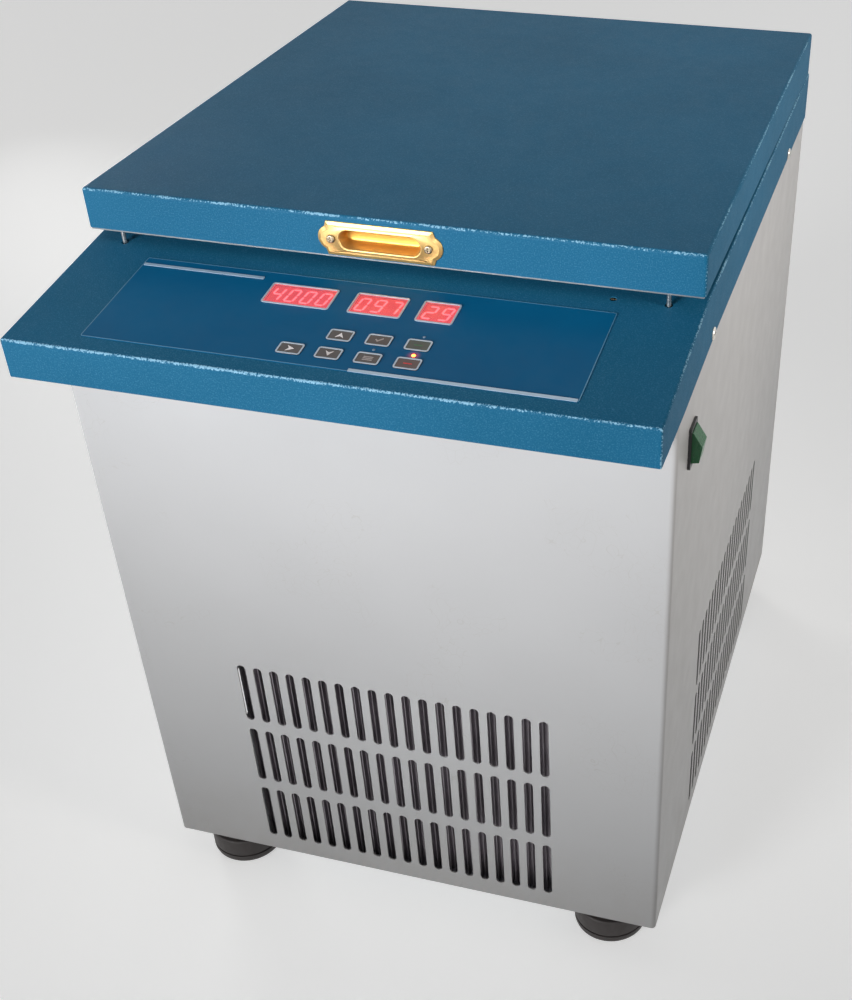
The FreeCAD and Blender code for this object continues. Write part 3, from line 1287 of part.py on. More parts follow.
def refrigerant_lines():
    """Suction, discharge and liquid line; the drier is brazed into the liquid line."""
    suction = bent_tube([(-coil_radius, axis_y, coil_bottom), (-coil_radius, line_y, coil_bottom),
                         (*suction_port(), port_z())], LINE_RADIUS, LINE_BEND)
    x, y = discharge_port()
    over = port_z() + 70
    middle = condenser_front + CONDENSER_DEPTH / 2
    discharge = bent_tube([(x, y, port_z()), (x, y, over), (x, middle, over),
                           (x, middle, base_top + CONDENSER_HEIGHT + STUB_LENGTH)],
                          LINE_RADIUS, LINE_BEND)
    liquid = bent_tube([(CONDENSER_WIDTH / 2 + 6, middle, line_z), (coil_radius, middle, line_z),
                        (coil_radius, line_y, line_z), (coil_radius, line_y, coil_top),
                        (coil_radius, axis_y, coil_top)], LINE_RADIUS, LINE_BEND)
    start = middle + 80
    drier = rod((coil_radius, start, line_z), (coil_radius, start + DRIER_LENGTH, line_z), DRIER_RADIUS)
    ends = DRIER_RADIUS - LINE_RADIUS - 1
    drier = fillet_where(drier, ends, lambda e: e.BoundBox.YLength < 1e-3)
    return group([suction, discharge, join([liquid, drier])])


def drive_unit():
    x0, x1 = DRIVE_X - DRIVE_WIDTH / 2, DRIVE_X + DRIVE_WIDTH / 2
    y0 = cabinet_back - DRIVE_BACKSET - DRIVE_DEPTH / 2
    y1 = y0 + DRIVE_DEPTH
    top = base_top + DRIVE_HEIGHT
    case = box(x0, x1, y0, y1, base_top, top)
    case = fillet_where(case, 3, lambda e: e.BoundBox.ZLength > 1)
    inset = DRIVE_FIN_INSET
    pitch = (DRIVE_WIDTH - 2 * inset - DRIVE_FIN_THICKNESS) / (DRIVE_FIN_COUNT - 1)
    starts = [x0 + inset + n * pitch for n in range(DRIVE_FIN_COUNT)]
    fins = [box(x, x + DRIVE_FIN_THICKNESS, y0 + inset, y1 - inset, top - 1, top + DRIVE_FIN_HEIGHT)
            for x in starts]
    return join([case] + fins)


# Power switch and inlet

def switch_block(width, height, x0, x1):
    """A block centred on the power switch, between two depths measured from the panel's face."""
    y, z = cabinet_front + SWITCH_SETBACK, flange_z - SWITCH_DROP
    return box(side_x + x0, side_x + x1, y - width / 2, y + width / 2, z - height / 2, z + height / 2)


def rocker_bezel():
    flange = switch_block(BEZEL_WIDTH, BEZEL_HEIGHT, 0, BEZEL_THICKNESS)
    flange = fillet_where(flange, 2, lambda e: e.BoundBox.XLength > 1)
    body = switch_block(BEZEL_BODY_WIDTH, BEZEL_BODY_HEIGHT, -BEZEL_BODY_DEPTH, 0)
    width, height = ROCKER_WIDTH + 2 * ROCKER_GAP, BEZEL_BODY_HEIGHT - 2 * BEZEL_WALL
    cavity = switch_block(width, height, -BEZEL_BODY_DEPTH + 3, BEZEL_THICKNESS + 1)
    return join([flange, body]).cut(cavity).cut(rocker_pin(ROCKER_PIN_RADIUS + RUNNING_GAP, 0.1))


def rocker_pivot():
    return side_x + 0.5, flange_z - SWITCH_DROP


def rocker_pin(radius, grow):
    x, z = rocker_pivot()
    y, half = cabinet_front + SWITCH_SETBACK, ROCKER_WIDTH / 2 + ROCKER_GAP + PIN_HOLD + grow
    return rod((x, y - half, z), (x, y + half, z), radius)


def power_rocker():
    """Two flat faces that meet in a ridge, resting with the upper half pressed in."""
    px, pz = rocker_pivot()
    y = cabinet_front + SWITCH_SETBACK
    shape = [(-4, -ROCKER_HALF), (6, -ROCKER_HALF), (ROCKER_RIDGE, 0), (6, ROCKER_HALF), (-4, ROCKER_HALF),
             (-8, ROCKER_HALF * 0.5), (-8, -ROCKER_HALF * 0.5)]
    points = [(px + u, y - ROCKER_WIDTH / 2, pz + w) for u, w in shape]
    block = outline(points).extrude(Vector(0, ROCKER_WIDTH, 0))
    block = fillet_where(block, 1, lambda e: e.BoundBox.YLength > 1 and e.BoundBox.XMin > px + 5)
    block = join([block, rocker_pin(ROCKER_PIN_RADIUS, 0)])
    return turned(block, -ROCKER_TILT, (0, 1, 0), (px, y, pz))


def inlet_block(width, height, y0, y1, rise=0.0, across=0.0):
    """A block centred on the power inlet, between two depths measured from the panel's face."""
    x, z = side_x - INLET_INSET + across, base_z + INLET_RISE + rise
    return box(x - width / 2, x + width / 2, cabinet_back + y0, cabinet_back + y1,
               z - height / 2, z + height / 2)


def power_inlet():
    flange = inlet_block(INLET_WIDTH, INLET_HEIGHT, 0, INLET_FLANGE)
    flange = fillet_where(flange, 3, lambda e: e.BoundBox.YLength > 1)
    body = inlet_block(INLET_BODY_WIDTH, INLET_BODY_HEIGHT, -INLET_BODY_DEPTH, 0)
    floor = INLET_FLANGE - SOCKET_DEPTH
    socket = inlet_block(SOCKET_WIDTH, SOCKET_HEIGHT, floor, INLET_FLANGE + 1)
    socket = fillet_where(socket, SOCKET_CORNER, lambda e: e.BoundBox.YLength > 1
                          and e.BoundBox.ZMin > base_z + INLET_RISE)
    blades = [inlet_block(2, 4, floor - 2, floor + BLADE_LENGTH, rise, across)
              for across, rise in BLADE_PLACES]
    return join([join([flange, body]).cut(socket)] + blades)


def case_screws():
    screws = [pan_screw(place, (side, 0, 0), COWL_SCREW_HEAD)
              for side in (1, -1) for place in cowl_screw_places(side)]
    screws += [pan_screw(place, BACKWARDS) for place in rear_screw_places() + fixed_leaf_screws]
    return group(screws + [release_screw()])


NODES = {
    "base_plate": base_plate,
    "corner_posts": corner_posts,
    "chamber_shelf": chamber_shelf,
    "front_panel": front_panel,
    "left_panel": lambda: side_panel(-1),
    "right_panel": lambda: side_panel(1),
    "rear_panel": rear_panel,
    "rubber_feet": rubber_feet,
    "top_cowl": top_cowl,
    "console_pan": console_pan,
    "control_overlay": control_overlay,
    "display_windows": display_windows,
    "board_parts": board_parts,
    "display_digits": display_digits,
    "display_board": display_board,
    "indicator_lamps": indicator_lamps,
    "lid_shell": lid_shell,
    "lid_insulation": lid_insulation,
    "lid_pan": lid_pan,
    "pull_handle": pull_handle,
    "lid_screws": lid_screws,
    "lid_strikers": lambda: group([striker(-1), striker(1)]),
    "hinge_moving_leaves": hinge_moving_leaves,
    "hinge_fixed_leaves": hinge_fixed_leaves,
    "lock_bar": lock_bar,
    "lock_solenoid": lock_solenoid,
    "chamber_wall": chamber_wall,
    "chamber_floor": chamber_floor,
    "chamber_gasket": chamber_gasket,
    "evaporator_coil": evaporator_coil,
    "guard_ring": guard_ring,
    "chamber_insulation": chamber_insulation,
    "shaft_boot": shaft_boot,
    "motor_plate": motor_plate,
    "rubber_mounts": rubber_mounts,
    "motor_housing": motor_housing,
    "motor_shaft": motor_shaft,
    "rotor_yoke": rotor_yoke,
    "rotor_nut": rotor_nut,
    "condenser": condenser,
    "fan_shroud": fan_shroud,
    "condenser_fan": condenser_fan,
    "fan_motor": fan_motor,
    "compressor": compressor,
    "refrigerant_lines": refrigerant_lines,
    "drive_unit": drive_unit,
    "rocker_bezel": rocker_bezel,
    "power_rocker": power_rocker,
    "power_inlet": power_inlet,
    "case_screws": case_screws,
}
for number in range(BUCKET_COUNT):
    NODES[f"bucket_{number + 1}"] = lambda number=number: bucket(number)
for name, (x, s) in key_places().items():
    NODES[name] = lambda x=x, s=s: key(x, s)

for name, make in NODES.items():
    shape = make()
    print(name, len(shape.Solids), "solids", round(shape.Volume / 1000, 1), "cm3",
          "" if shape.isValid() else "NOT VALID")
    shape.exportStep(f"parts/{name}.step")
print(len(NODES), "nodes")
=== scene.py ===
import bmesh
import bpy
import math
from mathutils import Matrix, Vector


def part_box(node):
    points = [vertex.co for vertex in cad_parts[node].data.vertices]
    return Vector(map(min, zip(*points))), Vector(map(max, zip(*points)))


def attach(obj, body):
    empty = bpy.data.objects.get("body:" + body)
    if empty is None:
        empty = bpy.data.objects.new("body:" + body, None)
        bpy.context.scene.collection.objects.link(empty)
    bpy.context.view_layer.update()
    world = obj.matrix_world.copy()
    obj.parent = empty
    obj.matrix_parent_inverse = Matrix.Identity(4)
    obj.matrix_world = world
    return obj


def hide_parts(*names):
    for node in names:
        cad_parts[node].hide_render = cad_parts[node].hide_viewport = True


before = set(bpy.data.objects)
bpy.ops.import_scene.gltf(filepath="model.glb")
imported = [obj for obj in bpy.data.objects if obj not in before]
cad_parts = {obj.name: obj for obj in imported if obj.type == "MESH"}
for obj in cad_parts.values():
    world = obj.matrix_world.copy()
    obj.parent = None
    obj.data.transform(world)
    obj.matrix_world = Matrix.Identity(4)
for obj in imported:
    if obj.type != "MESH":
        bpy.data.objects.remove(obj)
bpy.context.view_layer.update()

# %% [markdown]
# Everything is in metres, with the origin on the floor under the middle of the cabinet, X to the
# right, Y to the back and Z up. The measured pieces are already here. This script gives each one its
# finish, and models again the pieces whose beauty is in their edges: the brass pull, the feet, the
# printing on the console, the knurled nut.
#
# First the camera. It stands a little to the right of the instrument, at a tall person's eye height, and
# looks down at the console. The picture was cropped off-centre, so the lens is shifted: a shift moves the
# picture on the film and leaves the perspective alone, which turning the camera would not.

# %% Camera
CAMERA_PLACE = (0.4544, -1.2596, 1.2444)
CAMERA_TURN = (52.103, 0.493, 15.615)
LENS_MM = 50.354
LENS_SHIFT = (-0.1400, 0.0921)

camera_data = bpy.data.cameras.new("camera")
camera_data.sensor_width = 36.0
camera_data.lens = LENS_MM
camera_data.shift_x, camera_data.shift_y = LENS_SHIFT
camera = bpy.data.objects.new("camera", camera_data)
camera.location = CAMERA_PLACE
camera.rotation_euler = [math.radians(angle) for angle in CAMERA_TURN]
bpy.context.scene.collection.objects.link(camera)
bpy.context.scene.camera = camera
bpy.context.scene.view_settings.view_transform = "Standard"
print("camera looks along", camera.rotation_euler.to_matrix() @ Vector((0, 0, -1)))

# %% [markdown]
# The studio is a pale floor and four soft lamps. A big lamp gives soft shadows, because each point of the
# object sees a different part of it hidden. The main lamp stands low and close in front, at the height of
# the lid, so it lights the upright faces far more than the lid's top, and its light fades down the cabinet,
# both as in the photograph. Its spread is narrow, which keeps the floor from throwing much light back up.
# A weaker lamp on the right models the side, one high behind draws the lid's back edge, and one low behind
# lights the two sides that the picture doesn't show. The sky is dim for lighting, and pale for the camera
# and for what glossy and clear surfaces show, which the Light Path node tells apart. The floor does the
# same: it shows pale, keeps the object's shadow, and throws back only the light that its own colour gives.

# %% Floor, lamps and sky
FLOOR_COLOUR = (0.72, 0.72, 0.71, 1)
FLOOR_LIFT = 0.5
SKY_LIGHT = 0.11


def new_material(name):
    """An empty material with a Principled BSDF; returns its nodes, links and shader as well."""
    material = bpy.data.materials.new(name)
    material.use_nodes = True
    tree = material.node_tree
    return material, tree.nodes, tree.links, tree.nodes["Principled BSDF"]


def maths(tree, operation, first, second=None, third=None):
    """A Math node fed with sockets or plain numbers; returns its output."""
    node = tree.nodes.new("ShaderNodeMath")
    node.operation = operation
    for place, value in enumerate((first, second, third)):
        if value is None:
            continue
        if isinstance(value, (int, float)):
            node.inputs[place].default_value = value
        else:
            tree.links.new(value, node.inputs[place])
    return node.outputs[0]


def seen_ray(tree):
    """1 for what the camera, a gloss or a clear pane shows, and 0 for the light that a surface gets."""
    path = tree.nodes.new("ShaderNodeLightPath")
    seen = maths(tree, "MAXIMUM", path.outputs["Is Camera Ray"], path.outputs["Is Glossy Ray"])
    return maths(tree, "MAXIMUM", seen, path.outputs["Is Transmission Ray"])


def area_lamp(name, place, target, size, power, spread=180, colour=(1, 1, 1)):
    data = bpy.data.lights.new(name, "AREA")
    data.spread = math.radians(spread)
    data.shape = "DISK"
    data.size = size
    data.energy = power
    data.color = colour
    lamp = bpy.data.objects.new(name, data)
    lamp.location = place
    aim = Vector(target) - Vector(place)
    lamp.rotation_euler = aim.to_track_quat("-Z", "Y").to_euler()
    bpy.context.scene.collection.objects.link(lamp)
    return lamp


floor_mesh = bmesh.new()
bmesh.ops.create_circle(floor_mesh, cap_ends=True, segments=64, radius=9.0)
floor_data = bpy.data.meshes.new("floor")
floor_mesh.to_mesh(floor_data)
floor_mesh.free()
floor = bpy.data.objects.new("floor", floor_data)
bpy.context.scene.collection.objects.link(floor)
floor_paint, nodes, links, shader = new_material("floor_paint")
shader.inputs["Base Color"].default_value = FLOOR_COLOUR
shader.inputs["Roughness"].default_value = 0.7
shader.inputs["Emission Color"].default_value = (1, 1, 1, 1)
eye = seen_ray(floor_paint.node_tree)
links.new(maths(floor_paint.node_tree, "MULTIPLY", eye, FLOOR_LIFT), shader.inputs["Emission Strength"])
floor_data.materials.append(floor_paint)

area_lamp("front_lamp", (-0.9, -2.3, 1.15), (0.0, -0.3, 0.92), 1.2, 7.9, spread=44, colour=(0.98, 0.99, 1.0))
area_lamp("side_lamp", (2.3, -0.5, 1.5), (0.28, 0.1, 0.95), 1.0, 3.4, spread=42, colour=(1.0, 0.94, 0.87))
area_lamp("back_lamp", (-0.5, 1.9, 2.4), (0, 0.2, 0.75), 1.4, 2)
area_lamp("rear_lamp", (-2.0, 1.9, 0.55), (-0.2, 0.2, 0.52), 0.9, 3.6, spread=48)

world = bpy.data.worlds.new("sky")
world.use_nodes = True
bpy.context.scene.world = world
nodes, links = world.node_tree.nodes, world.node_tree.links
background = nodes["Background"]
strength = nodes.new("ShaderNodeMapRange")
strength.inputs["To Min"].default_value = SKY_LIGHT
strength.inputs["To Max"].default_value = 1.0
links.new(seen_ray(world.node_tree), strength.inputs["Value"])
links.new(strength.outputs["Result"], background.inputs["Strength"])
background.inputs["Color"].default_value = (1, 1, 1, 1)

# %% [markdown]
# Painted sheet metal is never one flat colour. Three things make it real, and each is a small shader
# group that many finishes share, so that it is built once and given its own values in each material.
#
# Pebble: the grains of a textured powder coat, or the much gentler orange peel of a smooth one. Mottle: slow,
# faint changes of colour. Scuffs: hair scratches. Fold: a painted highlight, a speckled light line along the
# edges of a folded sheet where the light catches them. The groups put out masks and heights, and each
# material decides what to do with them.

# %% Shared shader groups


def socket(group, name, kind, value=None, out=False):
    item = group.interface.new_socket(name=name, in_out="OUTPUT" if out else "INPUT",
                                      socket_type="NodeSocket" + kind)
    if value is not None:
        item.default_value = value
    return item


def start_group(name, inputs, outputs):
    """A shader group with its sockets made, ready to be filled."""
    group = bpy.data.node_groups.new(name, "ShaderNodeTree")
    for socket_name, kind, value in inputs:
        socket(group, socket_name, kind, value)
    for socket_name, kind in outputs:
        socket(group, socket_name, kind, out=True)
    return group, group.nodes.new("NodeGroupInput"), group.nodes.new("NodeGroupOutput")


def noise(tree, vector, scale, detail=2.0, roughness=0.5):
    node = tree.nodes.new("ShaderNodeTexNoise")
    node.inputs["Scale"].default_value = scale
    node.inputs["Detail"].default_value = detail
    node.inputs["Roughness"].default_value = roughness
    tree.links.new(vector, node.inputs["Vector"])
    return node


def build_pebble():
    """Height of a pebbled coat: round grains of one size, some higher than others, and a mask of bright
    grains that the blue coat uses as a painted sparkle.
    """
    group, start, end = start_group(
        "pebble", [("Position", "Vector", None), ("Grains per metre", "Float", 600.0)],
        [("Height", "Float"), ("Painted Sparkle", "Float")])
    cells = group.nodes.new("ShaderNodeTexVoronoi")
    cells.feature = "SMOOTH_F1"
    cells.inputs["Smoothness"].default_value = 0.6
    group.links.new(start.outputs["Position"], cells.inputs["Vector"])
    group.links.new(start.outputs["Grains per metre"], cells.inputs["Scale"])
    grain = group.nodes.new("ShaderNodeTexNoise")
    grain.inputs["Detail"].default_value = 1.0
    group.links.new(start.outputs["Position"], grain.inputs["Vector"])
    group.links.new(start.outputs["Grains per metre"], grain.inputs["Scale"])
    dome = maths(group, "SUBTRACT", 1.0, cells.outputs["Distance"])
    height = maths(group, "MULTIPLY", dome, grain.outputs["Fac"])
    group.links.new(height, end.inputs["Height"])
    # a mask of bright grains, which the blue coat uses as a painted sparkle
    speckle = maths(group, "POWER", grain.outputs["Fac"], 3.0)
    group.links.new(speckle, end.inputs["Painted Sparkle"])
    return group


def build_mottle():
    """Slow and fast patches from 0 to 1, for colour and roughness that drift over a surface."""
    group, start, end = start_group(
        "mottle", [("Position", "Vector", None), ("Patches per metre", "Float", 6.0)],
        [("Slow", "Float"), ("Fine", "Float")])
    slow = group.nodes.new("ShaderNodeTexNoise")
    slow.inputs["Detail"].default_value = 3.0
    group.links.new(start.outputs["Position"], slow.inputs["Vector"])
    group.links.new(start.outputs["Patches per metre"], slow.inputs["Scale"])
    fine = group.nodes.new("ShaderNodeTexNoise")
    fine.inputs["Detail"].default_value = 4.0
    group.links.new(start.outputs["Position"], fine.inputs["Vector"])
    faster = maths(group, "MULTIPLY", start.outputs["Patches per metre"], 12.0)
    group.links.new(faster, fine.inputs["Scale"])
    group.links.new(slow.outputs["Fac"], end.inputs["Slow"])
    group.links.new(fine.outputs["Fac"], end.inputs["Fine"])
    return group


def build_scuffs():
    """Fine hair scratches that run every way, as a thin mask."""
    group, start, end = start_group("scuffs", [("Position", "Vector", None), ("Per metre", "Float", 40.0),
                                               ("Amount", "Float", 0.3)], [("Mask", "Float")])
    bend = group.nodes.new("ShaderNodeTexNoise")
    bend.inputs["Scale"].default_value = 9.0
    group.links.new(start.outputs["Position"], bend.inputs["Vector"])
    lines = group.nodes.new("ShaderNodeTexVoronoi")
    lines.feature = "DISTANCE_TO_EDGE"
    group.links.new(start.outputs["Per metre"], lines.inputs["Scale"])
    stretch = group.nodes.new("ShaderNodeVectorMath")
    stretch.operation = "MULTIPLY"
    stretch.inputs[1].default_value = (1.0, 0.12, 1.6)
    group.links.new(start.outputs["Position"], stretch.inputs[0])
    shift = group.nodes.new("ShaderNodeVectorMath")
    shift.operation = "ADD"
    group.links.new(stretch.outputs[0], shift.inputs[0])
    group.links.new(bend.outputs["Color"], shift.inputs[1])
    group.links.new(shift.outputs[0], lines.inputs["Vector"])
    thin = maths(group, "LESS_THAN", lines.outputs["Distance"], 0.012)
    patchy = maths(group, "GREATER_THAN", bend.outputs["Fac"], 0.56)
    both = maths(group, "MULTIPLY", thin, patchy)
    group.links.new(maths(group, "MULTIPLY", both, start.outputs["Amount"]), end.inputs["Mask"])
    return group


def build_fold_highlight():
    """A painted highlight: a speckled light line along the folds of a sheet-metal box whose front may slope.

    Three distances are measured from inside the box: to the nearer side, to the nearer end and to the
    top. On a face one of them is zero and at a fold two are, so the middle one says how far the fold is.
    The folds at the sides get less of this painted highlight, so their distance counts a little further.
    """
    group, start, end = start_group(
        "fold_highlight", [("Position", "Vector", None), ("Half Width", "Float", 0.28), ("Front", "Float", 0.0),
                 ("Back", "Float", 0.0), ("Fold Height", "Float", 0.0), ("Rise", "Float", 0.0),
                 ("Top", "Float", 0.0), ("Reach", "Float", 0.002)], [("Mask", "Float")])
    given = start.outputs
    split = group.nodes.new("ShaderNodeSeparateXYZ")
    group.links.new(given["Position"], split.inputs[0])
    side = maths(group, "SUBTRACT", given["Half Width"], maths(group, "ABSOLUTE", split.outputs["X"]))
    side = maths(group, "ADD", side, 0.0007)
    depth = maths(group, "SUBTRACT", split.outputs["Y"], given["Front"])
    end_ = maths(group, "MINIMUM", depth, maths(group, "SUBTRACT", given["Back"], split.outputs["Y"]))
    slope = maths(group, "MULTIPLY_ADD", depth, given["Rise"], given["Fold Height"])
    top = maths(group, "SUBTRACT", maths(group, "MINIMUM", slope, given["Top"]), split.outputs["Z"])
    low, high = maths(group, "MINIMUM", side, end_), maths(group, "MAXIMUM", side, end_)
    middle = maths(group, "MAXIMUM", low, maths(group, "MINIMUM", high, top))
    near = maths(group, "SUBTRACT", 1.0, maths(group, "DIVIDE", middle, given["Reach"]))
    grain = noise(group, given["Position"], 620.0, detail=1.0).outputs["Fac"]
    patch = noise(group, given["Position"], 26.0, detail=2.0).outputs["Fac"]
    chance = maths(group, "MULTIPLY_ADD", patch, 0.6, maths(group, "SUBTRACT", grain, 0.90))
    # painted highlight: strongest right at the fold, broken up by grains and patches
    painted_highlight = maths(group, "MULTIPLY_ADD", near, 0.32, chance)
    sharp = maths(group, "MULTIPLY", painted_highlight, 7.0)
    clamp = group.nodes.new("ShaderNodeClamp")
    group.links.new(sharp, clamp.inputs["Value"])
    inside = maths(group, "GREATER_THAN", near, 0.0)
    group.links.new(maths(group, "MULTIPLY", clamp.outputs[0], inside), end.inputs["Mask"])
    return group


PEBBLE = build_pebble()
MOTTLE = build_mottle()
SCUFFS = build_scuffs()
FOLD_HIGHLIGHT = build_fold_highlight()
print("groups:", [g.name for g in bpy.data.node_groups])

# %% [markdown]
# A material reads Object coordinates: every object here sits at the origin, unturned, so they are real
# metres, the grain has the same size on every piece, and it doesn't slide when a piece moves.
#
# Each finish below is a function that returns a material. They share a start, which adds the coordinates
# and the groups, and then go their own way in colour, roughness and bump.

# %% Material helpers


def place(tree, group, **values):
    """A shader group in a material, fed with Object coordinates and its own values."""
    node = tree.nodes.new("ShaderNodeGroup")
    node.node_tree = group
    coordinates = next((n for n in tree.nodes if n.type == "TEX_COORD"), None)
    if coordinates is None:
        coordinates = tree.nodes.new("ShaderNodeTexCoord")
    tree.links.new(coordinates.outputs["Object"], node.inputs["Position"])
    for name, value in values.items():
        node.inputs[name.replace("_", " ")].default_value = value
    return node


def between(tree, mask, low, high):
    """A colour that runs from low to high as the mask goes from 0 to 1."""
    ramp = tree.nodes.new("ShaderNodeMix")
    ramp.data_type = "RGBA"
    ramp.inputs["A"].default_value = (*low, 1)
    ramp.inputs["B"].default_value = (*high, 1)
    tree.links.new(mask, ramp.inputs["Factor"])
    return ramp.outputs["Result"]


def over(tree, base, mask, colour):
    """Lays a colour over another where the mask is 1."""
    ramp = tree.nodes.new("ShaderNodeMix")
    ramp.data_type = "RGBA"
    tree.links.new(base, ramp.inputs["A"])
    ramp.inputs["B"].default_value = (*colour, 1)
    tree.links.new(mask, ramp.inputs["Factor"])
    return ramp.outputs["Result"]


def added(tree, first, second):
    """The sum of two colours."""
    node = tree.nodes.new("ShaderNodeMix")
    node.data_type, node.blend_type = "RGBA", "ADD"
    node.inputs["Factor"].default_value = 1.0
    tree.links.new(first, node.inputs["A"])
    tree.links.new(second, node.inputs["B"])
    return node.outputs["Result"]


def nodes_of_kind(tree, kind):
    return next(node for node in tree.nodes if node.type == kind)


def stretched(tree, value, low, high, new_low=0.0, new_high=1.0):
    node = tree.nodes.new("ShaderNodeMapRange")
    tree.links.new(value, node.inputs["Value"])
    for name, number in (("From Min", low), ("From Max", high), ("To Min", new_low), ("To Max", new_high)):
        node.inputs[name].default_value = number
    return node.outputs["Result"]


def add_bump(tree, shader, height, strength, depth):
    bump = tree.nodes.new("ShaderNodeBump")
    bump.inputs["Strength"].default_value = strength
    bump.inputs["Distance"].default_value = depth
    tree.links.new(height, bump.inputs["Height"])
    tree.links.new(bump.outputs["Normal"], shader.inputs["Normal"])


def srgb(red, green, blue):
    """The linear colour of a screen colour given as 0 to 255."""
    return tuple(((c / 255) / 12.92 if c <= 10 else ((c / 255 + 0.055) / 1.055) ** 2.4)
                 for c in (red, green, blue))


# %% [markdown]
# Textured blue powder coat covers the cowl and the lid. On the real sheet it is pebbled in grains of about a
# millimetre, nearly matt, with a lighter sparkle where a grain faces the light. The pebble's height drives
# the bump, and its speckle paints that sparkle into the colour, a painted highlight on the tops of the
# highest grains. Each of the two sheets also gets its own painted highlight along its folds, worked out from
# the sheet's measured box.
#
# Smooth grey powder coat covers the cabinet. It has only an orange peel, so it is glossier, and over years
# it takes a faint drift of tone, hair scratches, and dust low down by the floor.

# %% Painted sheet metal
SLOPE_ANGLE = math.radians(7.3)
SLOPE_LENGTH = 0.1748
cowl_low, cowl_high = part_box("top_cowl")
FRONT, FOLD = cowl_low.y, cowl_high.z - SLOPE_LENGTH * math.sin(SLOPE_ANGLE)
SLOPE = Matrix.Translation((0, FRONT, FOLD)) @ Matrix.Rotation(SLOPE_ANGLE, 4, "X")


def blue_powder_coat(name, sheet, fold_height, rise):
    material, nodes, links, shader = new_material(name)
    tree = material.node_tree
    low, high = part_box(sheet)
    pebble = place(tree, PEBBLE, Grains_per_metre=820.0)
    mottle = place(tree, MOTTLE, Patches_per_metre=5.0)
    fold_highlight = place(tree, FOLD_HIGHLIGHT, Half_Width=high.x, Front=low.y, Back=high.y, Fold_Height=fold_height,
                 Rise=rise, Top=high.z, Reach=0.0021)
    slow = stretched(tree, mottle.outputs["Slow"], 0.3, 0.7)
    base = between(tree, slow, srgb(14, 83, 115), srgb(24, 93, 127))
    # painted highlight: the speckle paints a pale blue sparkle on the grain tops
    grain = stretched(tree, pebble.outputs["Painted Sparkle"], 0.1, 0.42, 0.0, 0.30)
    coat = over(tree, base, grain, srgb(84, 140, 170))
    # the fold mask lays a pale blue painted highlight along the sheet's folds
    links.new(over(tree, coat, fold_highlight.outputs["Mask"], srgb(124, 170, 196)), shader.inputs["Base Color"])
    links.new(stretched(tree, mottle.outputs["Fine"], 0.3, 0.7, 0.56, 0.61), shader.inputs["Roughness"])
    shader.inputs["Specular IOR Level"].default_value = 0.12
    add_bump(tree, shader, pebble.outputs["Height"], 0.45, 0.0006)
    return material


def grey_powder_coat():
    material, nodes, links, shader = new_material("grey_powder_coat")
    tree = material.node_tree
    peel = place(tree, PEBBLE, Grains_per_metre=310.0)
    mottle = place(tree, MOTTLE, Patches_per_metre=3.0)
    scuffs = place(tree, SCUFFS, Per_metre=26.0, Amount=0.35)
    slow = stretched(tree, mottle.outputs["Slow"], 0.3, 0.7)
    base = between(tree, slow, srgb(181, 181, 182), srgb(189, 189, 190))
    coordinates = next(n for n in nodes if n.type == "TEX_COORD")
    split = nodes.new("ShaderNodeSeparateXYZ")
    links.new(coordinates.outputs["Object"], split.inputs[0])
    low = stretched(tree, split.outputs["Z"], 0.045, 0.16, 0.30, 0.0)
    dust = maths(tree, "MULTIPLY", low, mottle.outputs["Fine"])
    dusty = over(tree, base, dust, srgb(150, 140, 126))
    links.new(over(tree, dusty, scuffs.outputs["Mask"], srgb(168, 165, 160)), shader.inputs["Base Color"])
    links.new(stretched(tree, mottle.outputs["Fine"], 0.3, 0.7, 0.30, 0.40), shader.inputs["Roughness"])
    add_bump(tree, shader, peel.outputs["Height"], 0.12, 0.0006)
    return material


def galvanised_sheet():
    """Zinc: flat crystals of slightly different greys."""
    material, nodes, links, shader = new_material("galvanised_sheet")
    tree = material.node_tree
    mottle = place(tree, MOTTLE, Patches_per_metre=8.0)
    spangle = nodes.new("ShaderNodeTexVoronoi")
    spangle.inputs["Scale"].default_value = 90.0
    coordinates = next(n for n in nodes if n.type == "TEX_COORD")
    links.new(coordinates.outputs["Object"], spangle.inputs["Vector"])
    split = nodes.new("ShaderNodeSeparateColor")
    links.new(spangle.outputs["Color"], split.inputs[0])
    zinc = between(tree, split.outputs["Red"], srgb(150, 154, 158), srgb(186, 190, 192))
    links.new(zinc, shader.inputs["Base Color"])
    links.new(stretched(tree, mottle.outputs["Fine"], 0.3, 0.7, 0.36, 0.52), shader.inputs["Roughness"])
    shader.inputs["Metallic"].default_value = 0.9
    return material


# %% [markdown]
# Bare metals. A brushed or spun metal has fine lines in one direction, which is noise stretched far more
# along one axis than the others. Cast metal is rougher and pitted. Brass that is handled has a warm, worn
# film, brighter where fingers rub, and the pull is painted deeper orange down in its finger recess, a painted
# shade.

# %% Bare metals


def lined_metal(name, dark, light, along, roughness, lines=900.0):
    """Metal with fine lines; along is the axis that the lines follow, 0, 1 or 2."""
    material, nodes, links, shader = new_material(name)
    tree = material.node_tree
    mottle = place(tree, MOTTLE, Patches_per_metre=7.0)
    scale = nodes.new("ShaderNodeVectorMath")
    scale.operation = "MULTIPLY"
    scale.inputs[1].default_value = [0.02 if axis == along else 1.0 for axis in range(3)]
    coordinates = next(n for n in nodes if n.type == "TEX_COORD")
    links.new(coordinates.outputs["Object"], scale.inputs[0])
    hair = noise(tree, scale.outputs[0], lines, detail=2.0)
    slow = stretched(tree, mottle.outputs["Slow"], 0.3, 0.7)
    links.new(between(tree, slow, dark, light), shader.inputs["Base Color"])
    links.new(stretched(tree, hair.outputs["Fac"], 0.3, 0.7, roughness - 0.07, roughness + 0.1),
              shader.inputs["Roughness"])
    shader.inputs["Metallic"].default_value = 1.0
    add_bump(tree, shader, hair.outputs["Fac"], 0.12, 0.0002)
    return material


